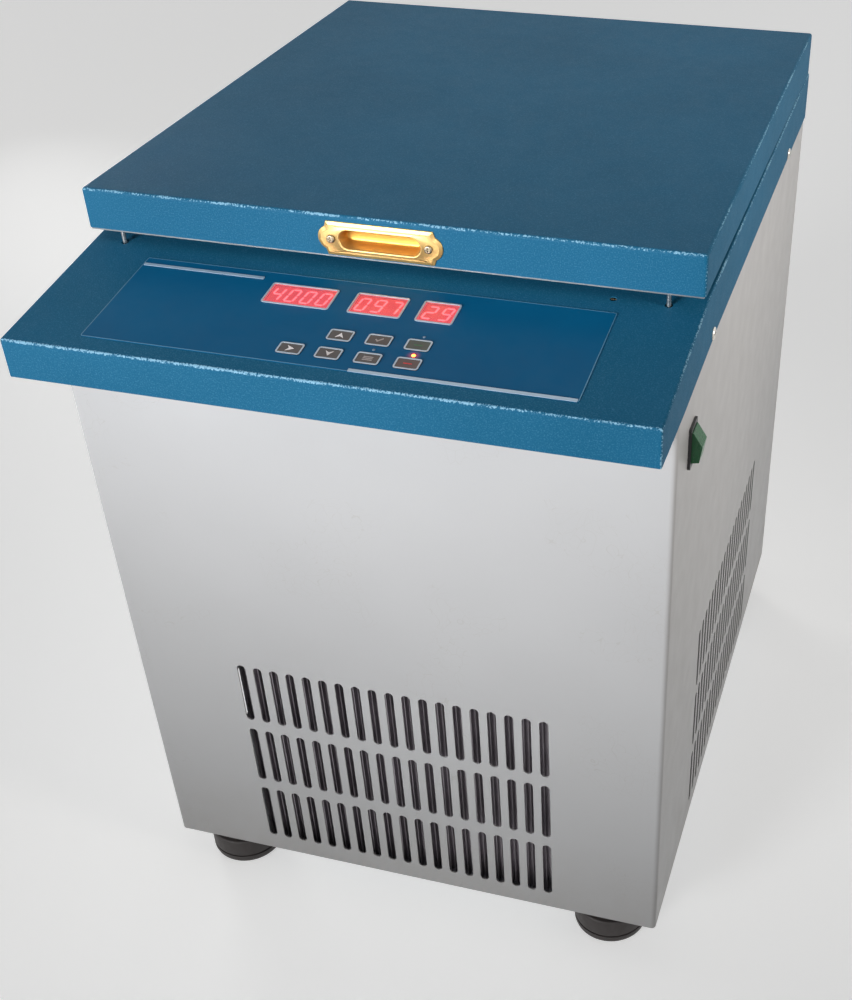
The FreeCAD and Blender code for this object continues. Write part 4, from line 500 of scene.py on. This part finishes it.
def gold_brass():
    """Lacquered brass: pale and warm on the plate, with a painted shade of deep orange down in the finger
    recess.
    """
    material, nodes, links, shader = new_material("gold_brass")
    tree = material.node_tree
    mottle = place(tree, MOTTLE, Patches_per_metre=30.0)
    scuffs = place(tree, SCUFFS, Per_metre=220.0, Amount=0.5)
    slow = stretched(tree, mottle.outputs["Slow"], 0.3, 0.7)
    base = between(tree, slow, srgb(198, 164, 100), srgb(210, 176, 114))
    split = nodes.new("ShaderNodeSeparateXYZ")
    coordinates = next(n for n in nodes if n.type == "TEX_COORD")
    links.new(coordinates.outputs["Object"], split.inputs[0])
    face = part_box("pull_handle")[0].y
    # painted shade: the colour turns deep orange the further it lies into the finger recess
    painted_recess_shade = stretched(tree, split.outputs["Y"], face + 0.002, face + 0.013, 0.0, 0.75)
    shaded = over(tree, base, painted_recess_shade, srgb(206, 146, 50))
    links.new(over(tree, shaded, scuffs.outputs["Mask"], srgb(206, 160, 78)), shader.inputs["Base Color"])
    links.new(stretched(tree, mottle.outputs["Fine"], 0.3, 0.7, 0.34, 0.46), shader.inputs["Roughness"])
    shader.inputs["Metallic"].default_value = 0.7
    add_bump(tree, shader, mottle.outputs["Fine"], 0.08, 0.0003)
    return material


def cast_metal(name, dark, light):
    material, nodes, links, shader = new_material(name)
    tree = material.node_tree
    pebble = place(tree, PEBBLE, Grains_per_metre=380.0)
    mottle = place(tree, MOTTLE, Patches_per_metre=9.0)
    links.new(between(tree, mottle.outputs["Slow"], dark, light), shader.inputs["Base Color"])
    shader.inputs["Roughness"].default_value = 0.55
    shader.inputs["Metallic"].default_value = 0.35
    add_bump(tree, shader, pebble.outputs["Height"], 0.4, 0.0008)
    return material


# %% [markdown]
# Plastics, rubber, foam and the console's film. The printed film is a satin sheet with a very fine crackle;
# its colour is deeper and less grainy than the paint around it. The displays are lit from behind: the
# module's face glows dull red and the lit segments glow pink, so both get an emission. Round the lit lamp and
# the displays the film itself gets a painted glow, an emission of its own.

# %% Plastics, rubber and film


def moulded(name, colour, roughness, grain=0.25, speckle=None):
    """Plastic or rubber with a fine spark-eroded grain."""
    material, nodes, links, shader = new_material(name)
    tree = material.node_tree
    pebble = place(tree, PEBBLE, Grains_per_metre=1500.0)
    mottle = place(tree, MOTTLE, Patches_per_metre=12.0)
    lighter = speckle or tuple(min(1.0, c * 1.35 + 0.004) for c in colour)
    links.new(between(tree, stretched(tree, mottle.outputs["Slow"], 0.35, 0.65), colour, lighter),
              shader.inputs["Base Color"])
    links.new(stretched(tree, mottle.outputs["Fine"], 0.3, 0.7, roughness - 0.06, roughness + 0.06),
              shader.inputs["Roughness"])
    add_bump(tree, shader, pebble.outputs["Height"], grain, 0.0003)
    return material


# painted glows that the film's own emission puts round the lit lamp and round each display
FILM_PAINTED_GLOWS = [  # across and up the slope, half width and half height of the glow, its colour
    (0.0665, 0.0488, 0.0075, 0.0075, (0.60, 0.035, 0.012)),
    (-0.057, 0.1040, 0.0440, 0.0270, (0.030, 0.002, 0.004)),
    (0.0135, 0.1040, 0.0370, 0.0270, (0.030, 0.002, 0.004)),
    (0.0662, 0.1040, 0.0300, 0.0270, (0.030, 0.002, 0.004)),
]


def painted_glow_on_film(tree, across, up, wide, high, colour):
    """A painted glow in the film round a lamp or a display: the colour in the middle, black at the glow's
    edge.
    """
    here = nodes_of_kind(tree, "TEX_COORD").outputs["Object"]
    away = tree.nodes.new("ShaderNodeVectorMath")
    away.operation = "SUBTRACT"
    tree.links.new(here, away.inputs[0])
    away.inputs[1].default_value = SLOPE @ Vector((across, up, 0.0))
    scaled = tree.nodes.new("ShaderNodeVectorMath")
    scaled.operation = "MULTIPLY"
    tree.links.new(away.outputs[0], scaled.inputs[0])
    scaled.inputs[1].default_value = (1 / wide, 1 / high, 0)
    length = tree.nodes.new("ShaderNodeVectorMath")
    length.operation = "LENGTH"
    tree.links.new(scaled.outputs[0], length.inputs[0])
    near = maths(tree, "MAXIMUM", maths(tree, "SUBTRACT", 1.0, length.outputs["Value"]), 0.0)
    return between(tree, maths(tree, "POWER", near, 2.0), (0, 0, 0), colour)


def console_film():
    material, nodes, links, shader = new_material("console_film")
    tree = material.node_tree
    pebble = place(tree, PEBBLE, Grains_per_metre=1100.0)
    mottle = place(tree, MOTTLE, Patches_per_metre=7.0)
    slow = stretched(tree, mottle.outputs["Slow"], 0.3, 0.7)
    links.new(between(tree, slow, srgb(3, 82, 124), srgb(6, 92, 134)), shader.inputs["Base Color"])
    links.new(stretched(tree, mottle.outputs["Fine"], 0.3, 0.7, 0.34, 0.44), shader.inputs["Roughness"])
    shader.inputs["Specular IOR Level"].default_value = 0.07
    # the film emits in these spots: painted light round the lamp and the displays
    light = None
    for spot in FILM_PAINTED_GLOWS:
        glow = painted_glow_on_film(tree, *spot)
        light = glow if light is None else added(tree, light, glow)
    links.new(light, shader.inputs["Emission Color"])
    shader.inputs["Emission Strength"].default_value = 1.0
    add_bump(tree, shader, pebble.outputs["Height"], 0.18, 0.0002)
    return material


def glowing(name, colour, glow, strength):
    material, nodes, links, shader = new_material(name)
    tree = material.node_tree
    mottle = place(tree, MOTTLE, Patches_per_metre=60.0)
    links.new(between(tree, mottle.outputs["Slow"], tuple(c * 0.8 for c in colour), colour),
              shader.inputs["Base Color"])
    links.new(between(tree, mottle.outputs["Fine"], tuple(c * 0.85 for c in glow), glow),
              shader.inputs["Emission Color"])
    shader.inputs["Emission Strength"].default_value = strength
    shader.inputs["Roughness"].default_value = 0.35
    return material


def window_pane():
    material, nodes, links, shader = new_material("window_pane")
    tree = material.node_tree
    mottle = place(tree, MOTTLE, Patches_per_metre=25.0)
    links.new(between(tree, mottle.outputs["Slow"], srgb(240, 190, 192), srgb(246, 200, 200)),
              shader.inputs["Base Color"])
    shader.inputs["Roughness"].default_value = 0.08
    shader.inputs["Transmission Weight"].default_value = 1.0
    shader.inputs["IOR"].default_value = 1.2
    return material


def rigid_foam():
    material, nodes, links, shader = new_material("rigid_foam")
    tree = material.node_tree
    pebble = place(tree, PEBBLE, Grains_per_metre=420.0)
    mottle = place(tree, MOTTLE, Patches_per_metre=10.0)
    foam = between(tree, mottle.outputs["Slow"], srgb(206, 190, 140), srgb(226, 212, 166))
    links.new(foam, shader.inputs["Base Color"])
    shader.inputs["Roughness"].default_value = 0.85
    add_bump(tree, shader, pebble.outputs["Height"], 0.5, 0.001)
    return material


# %% [markdown]
# Now every measured piece gets its finish. A piece keeps its mesh, and only what is in its material slot
# changes. The list pairs each finish with the names of the pieces that carry it.

# %% Finishes on the measured pieces
BLUE = blue_powder_coat("blue_powder_coat", "top_cowl", FOLD, math.tan(SLOPE_ANGLE))
LID_BLUE = blue_powder_coat("blue_powder_coat_lid", "lid_shell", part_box("lid_shell")[1].z, 0.0)
GREY = grey_powder_coat()
ZINC = galvanised_sheet()
STEEL = lined_metal("brushed_steel", srgb(176, 176, 174), srgb(200, 200, 198), along=0, roughness=0.30)
SPUN_STEEL = lined_metal("spun_steel", srgb(178, 180, 182), srgb(206, 208, 208), along=2, roughness=0.26)
PAN_STEEL = lined_metal("satin_steel", srgb(112, 116, 120), srgb(132, 136, 140), along=0, roughness=0.45)
ALUMINIUM = lined_metal("turned_aluminium", srgb(188, 190, 194), srgb(214, 216, 218), along=0, roughness=0.32)
CHROME = lined_metal("bright_plate", srgb(214, 208, 198), srgb(236, 230, 220), along=1, roughness=0.16)
DULL_NICKEL = lined_metal("dull_nickel", srgb(150, 140, 118), srgb(172, 160, 136), along=1, roughness=0.42)
COPPER = lined_metal("drawn_copper", srgb(176, 104, 70), srgb(206, 132, 92), along=1, roughness=0.34)
FINS = lined_metal("fin_stock", srgb(158, 152, 158), srgb(190, 184, 190), along=2, roughness=0.5)
BRASS = gold_brass()
CASTING = cast_metal("grey_casting", srgb(72, 76, 80), srgb(96, 100, 104))
ENAMEL = cast_metal("black_enamel", srgb(16, 16, 18), srgb(26, 26, 28))
RUBBER = moulded("black_rubber", srgb(44, 39, 38), 0.55, 0.4)
SEAL = moulded("grey_seal", srgb(58, 58, 60), 0.7, 0.3)
BLACK = moulded("black_plastic", srgb(22, 22, 24), 0.38, 0.3)
KEY_DARK = moulded("key_plastic", srgb(54, 47, 45), 0.42, 0.2)
KEY_GREEN = moulded("key_plastic_green", srgb(48, 54, 48), 0.42, 0.2)
KEY_RED = moulded("key_plastic_red", srgb(66, 46, 44), 0.42, 0.2)
BOARD = moulded("circuit_board", srgb(16, 66, 38), 0.35, 0.2)
FILM = console_film()
PANE = window_pane()
MODULE = glowing("display_module", srgb(170, 80, 86), srgb(232, 116, 124), 0.85)
DIGIT = glowing("lit_segment", srgb(255, 160, 170), srgb(255, 150, 160), 1.25)
LAMP = glowing("amber_lamp", srgb(250, 150, 80), srgb(255, 96, 28), 22.0)
ROCKER = moulded("green_rocker", srgb(3, 84, 42), 0.30, 0.05)
FOAM = rigid_foam()

FINISHES = {
    BLUE: ["top_cowl", "console_pan"],
    LID_BLUE: ["lid_shell"],
    GREY: ["front_panel", "left_panel", "right_panel", "rear_panel"],
    ZINC: ["base_plate", "corner_posts", "chamber_shelf", "fan_shroud", "guard_ring", "lock_solenoid"],
    STEEL: ["lid_strikers", "hinge_moving_leaves", "hinge_fixed_leaves", "lock_bar", "motor_plate",
            "motor_shaft"],
    SPUN_STEEL: ["chamber_wall", "chamber_floor"],
    PAN_STEEL: ["lid_pan"],
    ALUMINIUM: ["rotor_yoke", "rotor_nut", "bucket_1", "bucket_2", "bucket_3", "bucket_4", "drive_unit",
                "fan_motor"],
    CHROME: ["case_screws"],
    DULL_NICKEL: ["lid_screws"],
    COPPER: ["evaporator_coil", "refrigerant_lines"],
    FINS: ["condenser"],
    BRASS: ["pull_handle"],
    CASTING: ["motor_housing"],
    ENAMEL: ["compressor"],
    RUBBER: ["rubber_feet", "rubber_mounts", "shaft_boot"],
    SEAL: ["chamber_gasket"],
    BLACK: ["rocker_bezel", "power_inlet", "condenser_fan"],
    KEY_DARK: ["key_right", "key_down", "key_menu", "key_up", "key_confirm"],
    KEY_GREEN: ["key_start"],
    KEY_RED: ["key_stop"],
    BOARD: ["display_board"],
    FILM: ["control_overlay"],
    PANE: ["display_windows"],
    MODULE: ["board_parts"],
    DIGIT: ["display_digits"],
    LAMP: ["indicator_lamps"],
    ROCKER: ["power_rocker"],
    FOAM: ["lid_insulation", "chamber_insulation"],
}


def finish_node(name, material):
    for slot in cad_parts[name].material_slots:
        slot.material = material


for material, names in FINISHES.items():
    for name in names:
        finish_node(name, material)
unfinished = set(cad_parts) - {name for names in FINISHES.values() for name in names}
print("pieces without a finish:", sorted(unfinished))

# %% [markdown]
# From here on, pieces are modelled again where the measured solid is too plain for a close look. All of
# them go through one helper: it welds doubles, turns the normals outwards, marks the edges that should
# stay crisp, gives the piece its material, and says which body carries it.
#
# The console slopes, so its small parts are drawn flat, with x across, y up the slope and z out of it, and
# one matrix lays them on the slope.

# %% Helpers for new pieces
def new_piece(name, mesh, material, body, crease=35.0):
    """Turns a bmesh into a finished piece that rides on a body; edges sharper than crease stay crisp."""
    bmesh.ops.remove_doubles(mesh, verts=mesh.verts, dist=1e-6)
    bmesh.ops.recalc_face_normals(mesh, faces=mesh.faces)
    for face in mesh.faces:
        face.smooth = True
    for edge in mesh.edges:
        edge.smooth = edge.calc_face_angle(0) < math.radians(crease)
    data = bpy.data.meshes.new(name)
    mesh.to_mesh(data)
    mesh.free()
    data.materials.append(material)
    piece = bpy.data.objects.new(name, data)
    bpy.context.scene.collection.objects.link(piece)
    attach(piece, body)
    print(name, len(data.polygons), "faces on", body)
    return piece


def slope_box(node):
    """Lowest and highest corner of a measured piece, read in the slope's own directions."""
    back = SLOPE.inverted()
    points = [back @ vertex.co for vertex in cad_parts[node].data.vertices]
    return (Vector([min(p[axis] for p in points) for axis in range(3)]),
            Vector([max(p[axis] for p in points) for axis in range(3)]))


def thicken(mesh, height):
    """Raises flat faces into a closed slab."""
    raised = bmesh.ops.extrude_face_region(mesh, geom=mesh.faces[:])["geom"]
    tops = [item for item in raised if isinstance(item, bmesh.types.BMVert)]
    bmesh.ops.translate(mesh, vec=(0, 0, height), verts=tops)


def rounded_plate(width, height, corner, thickness, line=None):
    """A flat plate with round corners; with line, only a frame of that width is left of it."""
    mesh = bmesh.new()
    bmesh.ops.create_grid(mesh, x_segments=1, y_segments=1, size=0.5)
    bmesh.ops.scale(mesh, vec=(width, height, 1), verts=mesh.verts)
    bmesh.ops.bevel(mesh, geom=mesh.verts[:], offset=corner, offset_type="OFFSET", segments=6,
                    profile=0.5, affect="VERTICES", material=-1)
    if line:
        rim = bmesh.ops.inset_region(mesh, faces=mesh.faces[:], thickness=line, use_boundary=True,
                                     use_even_offset=True)["faces"]
        middle = [face for face in mesh.faces if face not in rim]
        bmesh.ops.delete(mesh, geom=middle, context="FACES")
    thicken(mesh, thickness)
    return mesh


def flat_shape(outlines, thickness):
    """Closed outlines in the flat, each given as corner points, raised into slabs."""
    mesh = bmesh.new()
    for points in outlines:
        mesh.faces.new([mesh.verts.new((x, y, 0)) for x, y in points])
    thicken(mesh, thickness)
    return mesh


def lay(mesh, across, up, out):
    """Puts a flat mesh on the slope."""
    bmesh.ops.transform(mesh, matrix=SLOPE @ Matrix.Translation((across, up, out)), verts=mesh.verts)
    return mesh


print("slope starts", round(FRONT, 4), "deep and", round(FOLD, 4), "high")

# %% [markdown]
# The pull is cast brass with a bracket-shaped outline: two long straight edges, and ends that step in and
# then bulge. It is lofted through loops that all have the same number of points, so neighbouring loops join
# in clean quads. From the outside in there are a rounded rim, a broad chamfer that catches the light, a fine
# step, the flat face, the rounded lip of the finger recess, its drafted walls and its floor.

# %% Pull handle
handle_low, handle_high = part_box("pull_handle")
HANDLE_LENGTH, HANDLE_HEIGHT = handle_high.x - handle_low.x, handle_high.z - handle_low.z
HANDLE_STRAIGHT = 0.096
RECESS_LENGTH, RECESS_HEIGHT = 0.073, 0.016
SIDE_STEPS, END_STEPS = 20, 26


def straight_run(start, end, steps):
    return [start.lerp(end, step / steps) for step in range(steps)]


def bracket_outline():
    """The pull's outline in the flat, from the top left corner clockwise."""
    top, bulge = HANDLE_HEIGHT / 2, HANDLE_HEIGHT * 0.33
    shoulder, tip = HANDLE_STRAIGHT / 2 + HANDLE_HEIGHT * 0.06, HANDLE_LENGTH / 2
    centre = (tip ** 2 - shoulder ** 2 - bulge ** 2) / (2 * (tip - shoulder))
    radius, spread = tip - centre, math.asin(bulge / (tip - centre))
    corner, neck = Vector((HANDLE_STRAIGHT / 2, top)), Vector((shoulder, bulge))
    half = straight_run(Vector((-HANDLE_STRAIGHT / 2, top)), corner, SIDE_STEPS)
    half += straight_run(corner, neck, 4)
    arc_steps = END_STEPS - 8
    for step in range(arc_steps):
        angle = spread * (1 - 2 * step / arc_steps)
        half.append(Vector((centre + radius * math.cos(angle), radius * math.sin(angle))))
    half += straight_run(Vector((shoulder, -bulge)), Vector((HANDLE_STRAIGHT / 2, -top)), 4)
    return half + [-point for point in half]


def recess_outline():
    """A round-ended slot with as many points as the bracket, in the same order."""
    reach, radius = (RECESS_LENGTH - RECESS_HEIGHT) / 2, RECESS_HEIGHT / 2
    half = straight_run(Vector((-reach, radius)), Vector((reach, radius)), SIDE_STEPS)
    for step in range(END_STEPS):
        angle = math.pi * (0.5 - step / END_STEPS)
        half.append(Vector((reach + radius * math.cos(angle), radius * math.sin(angle))))
    return half + [-point for point in half]


def inset(points, amount):
    """Moves a clockwise outline inwards by amount, square to its edges."""
    moved = []
    for index, point in enumerate(points):
        before, after = points[index - 1], points[(index + 1) % len(points)]
        first, second = (point - before).normalized(), (after - point).normalized()
        inward = Vector((first.y + second.y, -first.x - second.x))
        if inward.length < 1e-6:
            moved.append(point.copy())
            continue
        inward.normalize()
        square = Vector((first.y, -first.x))
        moved.append(point + inward * amount / max(inward.dot(square), 0.5))
    return moved


def loft(loops):
    """A closed solid through loops of equally many points."""
    mesh = bmesh.new()
    rings = [[mesh.verts.new(point) for point in loop] for loop in loops]
    for near, far in zip(rings, rings[1:]):
        for index in range(len(near)):
            after = (index + 1) % len(near)
            mesh.faces.new((near[index], near[after], far[after], far[index]))
    mesh.faces.new(rings[0])
    mesh.faces.new(rings[-1])
    return mesh


BRACKET, RECESS = bracket_outline(), recess_outline()
handle_middle = (handle_low + handle_high) / 2
plate_back = handle_low.y + 0.0025
HANDLE_LOOPS = [  # outline, how far inside it, how far out of the lid's face, all in millimetres
    (RECESS, -1.1, -13.6), (RECESS, -1.1, 0.0), (BRACKET, 0.0, 0.0), (BRACKET, 0.0, 0.9),
    (BRACKET, 0.12, 1.15), (BRACKET, 0.45, 1.35), (BRACKET, 0.9, 1.42), (BRACKET, 2.5, 2.42),
    (BRACKET, 2.8, 2.5), (BRACKET, 3.1, 2.5), (BRACKET, 3.25, 2.3), (RECESS, -1.9, 2.3),
    (RECESS, -1.7, 2.45), (RECESS, -1.1, 2.5), (RECESS, -0.5, 2.25), (RECESS, -0.1, 1.6),
    (RECESS, 0.1, 0.4), (RECESS, 1.3, -7.0), (RECESS, 1.9, -9.6), (RECESS, 2.8, -10.8), (RECESS, 4.2, -11.2),
]
loops = []
for shape, inwards, out in HANDLE_LOOPS:
    loops.append([Vector((handle_middle.x + point.x, plate_back - out / 1000, handle_middle.z + point.y))
                  for point in inset(shape, inwards / 1000)])
pull = new_piece("pull_cast", loft(loops), BRASS, "lid", crease=50)
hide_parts("pull_handle")

# %% [markdown]
# A foot is turned rubber, so it is a profile spun about its axis: a recess underneath for the screw, a flat
# tread, a rounded lower edge, one groove, and a step in to the neck under the base plate.

# %% Feet
FOOT_PROFILE = [  # radius and height in millimetres
    (0.0, 7.0), (6.5, 7.0), (7.0, 6.0), (9.0, 6.0), (9.5, 1.5), (11.0, 0.0), (32.5, 0.0), (35.2, 0.5),
    (37.4, 1.9), (39.1, 4.1), (39.9, 6.6), (40.0, 7.6), (40.0, 11.1), (39.7, 11.4), (38.2, 11.5),
    (38.0, 11.8),
    (38.0, 13.4), (38.2, 13.7), (39.7, 13.8), (40.0, 14.1), (40.0, 33.2), (39.6, 34.7), (38.6, 35.7),
    (37.2, 36.0), (35.6, 36.0), (35.1, 36.4), (35.0, 37.2), (35.0, 44.9), (0.0, 44.9),
]


def turned_piece(profile, middle, steps=72):
    """Spins a profile of radius and height, in millimetres, about an upright axis."""
    mesh = bmesh.new()
    points = [mesh.verts.new((middle.x + r / 1000, middle.y, middle.z + h / 1000)) for r, h in profile]
    edges = [mesh.edges.new(pair) for pair in zip(points, points[1:])]
    bmesh.ops.spin(mesh, geom=points + edges, cent=middle, axis=(0, 0, 1), angle=2 * math.pi,
                   steps=steps, use_merge=True)
    return mesh


foot_low, foot_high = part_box("rubber_feet")
feet = bmesh.new()
for x in (foot_low.x + 0.040, foot_high.x - 0.040):
    for y in (foot_low.y + 0.040, foot_high.y - 0.040):
        one = turned_piece(FOOT_PROFILE, Vector((x, y, 0)))
        spare = bpy.data.meshes.new("foot_pattern")
        one.to_mesh(spare)
        one.free()
        feet.from_mesh(spare)
        bpy.data.meshes.remove(spare)
foot_set = new_piece("turned_feet", feet, RUBBER, "cabinet", crease=40)
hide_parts("rubber_feet")

# %% [markdown]
# The console film is printed. Each display has a silver line round it, each key a thinner one, and two silver
# bars close off the print above and below; a fine lighter line round the film's cut edge is a painted
# highlight. They are real slabs, a few tenths of a millimetre high, so they catch the light as raised print
# does.

# %% Printed lines
FILM_TOP = slope_box("control_overlay")[1].z


def printed_metal(name, dark, light, roughness):
    """Silver ink: satin, with a fine grain and slow patches."""
    material, nodes, links, shader = new_material(name)
    tree = material.node_tree
    mottle = place(tree, MOTTLE, Patches_per_metre=40.0)
    pebble = place(tree, PEBBLE, Grains_per_metre=2200.0)
    links.new(between(tree, mottle.outputs["Slow"], dark, light), shader.inputs["Base Color"])
    links.new(stretched(tree, mottle.outputs["Fine"], 0.3, 0.7, roughness, roughness + 0.12),
              shader.inputs["Roughness"])
    shader.inputs["Metallic"].default_value = 0.3
    add_bump(tree, shader, pebble.outputs["Height"], 0.15, 0.0001)
    return material


SILVER = printed_metal("silver_print", srgb(160, 174, 188), srgb(180, 192, 202), 0.32)
BAR_SILVER = printed_metal("silver_bar_print", srgb(150, 172, 190), srgb(172, 190, 206), 0.34)
FILM_EDGE_HIGHLIGHT = printed_metal("film_edge_painted_highlight", srgb(64, 116, 146), srgb(84, 136, 164), 0.4)

DISPLAYS = {"speed": (-0.057, 4), "temperature": (0.0135, 3), "time": (0.0662, 2)}
pane_low, pane_high = slope_box("display_windows")
DISPLAY_UP = (pane_low.y + pane_high.y) / 2
DISPLAY_HEIGHT = pane_high.y - pane_low.y
DIGIT_PITCH, PANE_MARGIN = 0.0141, 0.0024
for display, (across, digits) in DISPLAYS.items():
    width = digits * DIGIT_PITCH + PANE_MARGIN
    line = rounded_plate(width + 0.0022, DISPLAY_HEIGHT + 0.0022, 0.0026, 0.0007, line=0.0013)
    new_piece("frame_" + display, lay(line, across, DISPLAY_UP, FILM_TOP), SILVER, "cabinet",
              crease=30)

for display, (across, digits) in DISPLAYS.items():
    wide = digits * DIGIT_PITCH + PANE_MARGIN - 0.0002
    border = rounded_plate(wide, DISPLAY_HEIGHT - 0.0002, 0.0018, 0.0001, line=0.0014)
    new_piece("border_" + display, lay(border, across, DISPLAY_UP, 0.00003), MODULE, "cabinet",
              crease=30)

film_low, film_high = slope_box("control_overlay")
film_size, film_middle = film_high - film_low, (film_high + film_low) / 2
# painted highlight: a lighter blue ring along the film's edge
edge = rounded_plate(film_size.x - 0.0004, film_size.y - 0.0004, 0.002, 0.00012, line=0.0008)
new_piece("film_edge_painted_highlight", lay(edge, film_middle.x, film_middle.y, FILM_TOP), FILM_EDGE_HIGHLIGHT, "cabinet")
for name, left, right, up, height in (("upper_bar", -0.2135, -0.099, 0.1292, 0.0034),
                                      ("lower_bar", 0.022, 0.2094, 0.0196, 0.0036)):
    bar = rounded_plate(right - left, height, 0.0004, 0.0005)
    new_piece(name, lay(bar, (left + right) / 2, up, FILM_TOP), BAR_SILVER, "cabinet")

# %% [markdown]
# Every key has a silver line round its cap and a sign on it: notched arrowheads on three, a tick to confirm
# and a short list for the menu. The start and stop keys carry a faint green and a faint red bar. The signs
# ride with the keys, so they go down when a key is pressed.

# %% Keys
SIGN_WHITE = moulded("sign_white", srgb(208, 202, 202), 0.5, 0.1)
SIGN_GREY = moulded("sign_grey", srgb(142, 134, 132), 0.5, 0.1)
SIGN_GREEN = moulded("sign_green", srgb(38, 84, 48), 0.5, 0.1)
SIGN_RED = moulded("sign_red", srgb(186, 44, 48), 0.5, 0.1)
ARROW = [(0.0, 3.3), (3.6, -3.2), (0.0, -1.1), (-3.6, -3.2)]
TICK = [(-3.4, 0.3), (-2.4, 1.3), (-0.9, -0.4), (2.7, 3.1), (3.6, 2.2), (-0.9, -2.4)]
BARS = [[(-4.2, low), (4.2, low), (4.2, low + 1.0), (-4.2, low + 1.0)] for low in (-2.5, -0.5, 1.5)]
LONG_BAR = [[(-3.6, -0.5), (3.6, -0.5), (3.6, 0.5), (-3.6, 0.5)]]
SIGNS = {
    "key_up": ([ARROW], 0, SIGN_WHITE), "key_right": ([ARROW], -90, SIGN_WHITE),
    "key_down": ([ARROW], 180, SIGN_WHITE), "key_confirm": ([TICK], 0, SIGN_GREY),
    "key_menu": (BARS, 0, SIGN_GREY), "key_start": (LONG_BAR, 0, SIGN_GREEN),
    "key_stop": (LONG_BAR, 0, SIGN_RED),
}
KEY_LINE = 0.0013
for key, (outlines, turn, ink) in SIGNS.items():
    low, high = slope_box(key)
    middle = (low + high) / 2
    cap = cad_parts[key].data
    top_points = [SLOPE.inverted() @ v.co for v in cap.vertices]
    top_points = [p for p in top_points if p.z > high.z - 0.0005]
    wide = max(p.x for p in top_points) - min(p.x for p in top_points)
    tall = max(p.y for p in top_points) - min(p.y for p in top_points)
    line = rounded_plate(wide + 0.0006, tall + 0.0006, 0.0024, 0.0003, line=KEY_LINE)
    new_piece(key + "_line", lay(line, middle.x, middle.y, high.z), SILVER, key + "_body")
    spin = Matrix.Rotation(math.radians(turn), 2)
    turned = [[spin @ Vector(point) / 1000 for point in points] for points in outlines]
    sign = flat_shape(turned, 0.00015)
    new_piece(key + "_sign", lay(sign, middle.x, middle.y, high.z), ink, key + "_body")

# %% [markdown]
# Three tiny lamps sit in the film. Only the one over the stop key is lit, amber; the film round it carries a
# painted glow in its colour. The other two are clear blue-grey beads. Each is a low dome: a sphere squashed
# and cut by the film.

# %% Lamps
BEAD = moulded("clear_bead", srgb(92, 116, 138), 0.2, 0.05)


def bead(across, up, radius, out):
    mesh = bmesh.new()
    bmesh.ops.create_uvsphere(mesh, u_segments=32, v_segments=20, radius=radius)
    bmesh.ops.scale(mesh, vec=(1, 1, 0.55), verts=mesh.verts)
    return lay(mesh, across, up, out)


lit = new_piece("lamp_lit", bead(0.0665, 0.0488, 0.0016, FILM_TOP), LAMP, "cabinet", crease=80)
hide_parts("indicator_lamps")
for name, across, up in (("lamp_start", 0.0663, 0.0747), ("lamp_menu", 0.0323, 0.0496)):
    new_piece(name, bead(across, up, 0.0013, FILM_TOP), BEAD, "cabinet", crease=80)

# %% [markdown]
# Under the lid, the nut that holds the rotor is turned aluminium with a knurled grip. The knurl is made by
# pushing every second strip of the spun wall inwards, then the top is a plain dome.

# %% Rotor nut
nut_low, nut_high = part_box("rotor_nut")
NUT_RADIUS, NUT_HEIGHT = (nut_high.x - nut_low.x) * 500, (nut_high.z - nut_low.z) * 1000
KNURLS = 40
NUT_PROFILE = [(0.0, 0.0), (NUT_RADIUS - 1.5, 0.0), (NUT_RADIUS, 1.5), (NUT_RADIUS, 4.0),
               (NUT_RADIUS, NUT_HEIGHT - 8.0), (NUT_RADIUS - 0.6, NUT_HEIGHT - 5.5),
               (NUT_RADIUS - 2.2, NUT_HEIGHT - 3.0), (NUT_RADIUS - 5.0, NUT_HEIGHT - 0.8),
               (NUT_RADIUS - 8.0, NUT_HEIGHT), (0.0, NUT_HEIGHT)]
nut_foot = Vector(((nut_low.x + nut_high.x) / 2, (nut_low.y + nut_high.y) / 2, nut_low.z))
nut = turned_piece(NUT_PROFILE, nut_foot, steps=2 * KNURLS)
bmesh.ops.remove_doubles(nut, verts=nut.verts, dist=1e-6)
for vertex in nut.verts:
    flat = Vector((vertex.co.x - nut_foot.x, vertex.co.y - nut_foot.y))
    strip = round(math.atan2(flat.y, flat.x) / math.pi * KNURLS)
    if flat.length > (NUT_RADIUS - 0.1) / 1000 and strip % 2:
        vertex.co.x -= flat.x * 0.05
        vertex.co.y -= flat.y * 0.05
knurled = new_piece("knurled_nut", nut, ALUMINIUM, "rotor", crease=12)
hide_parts("rotor_nut")
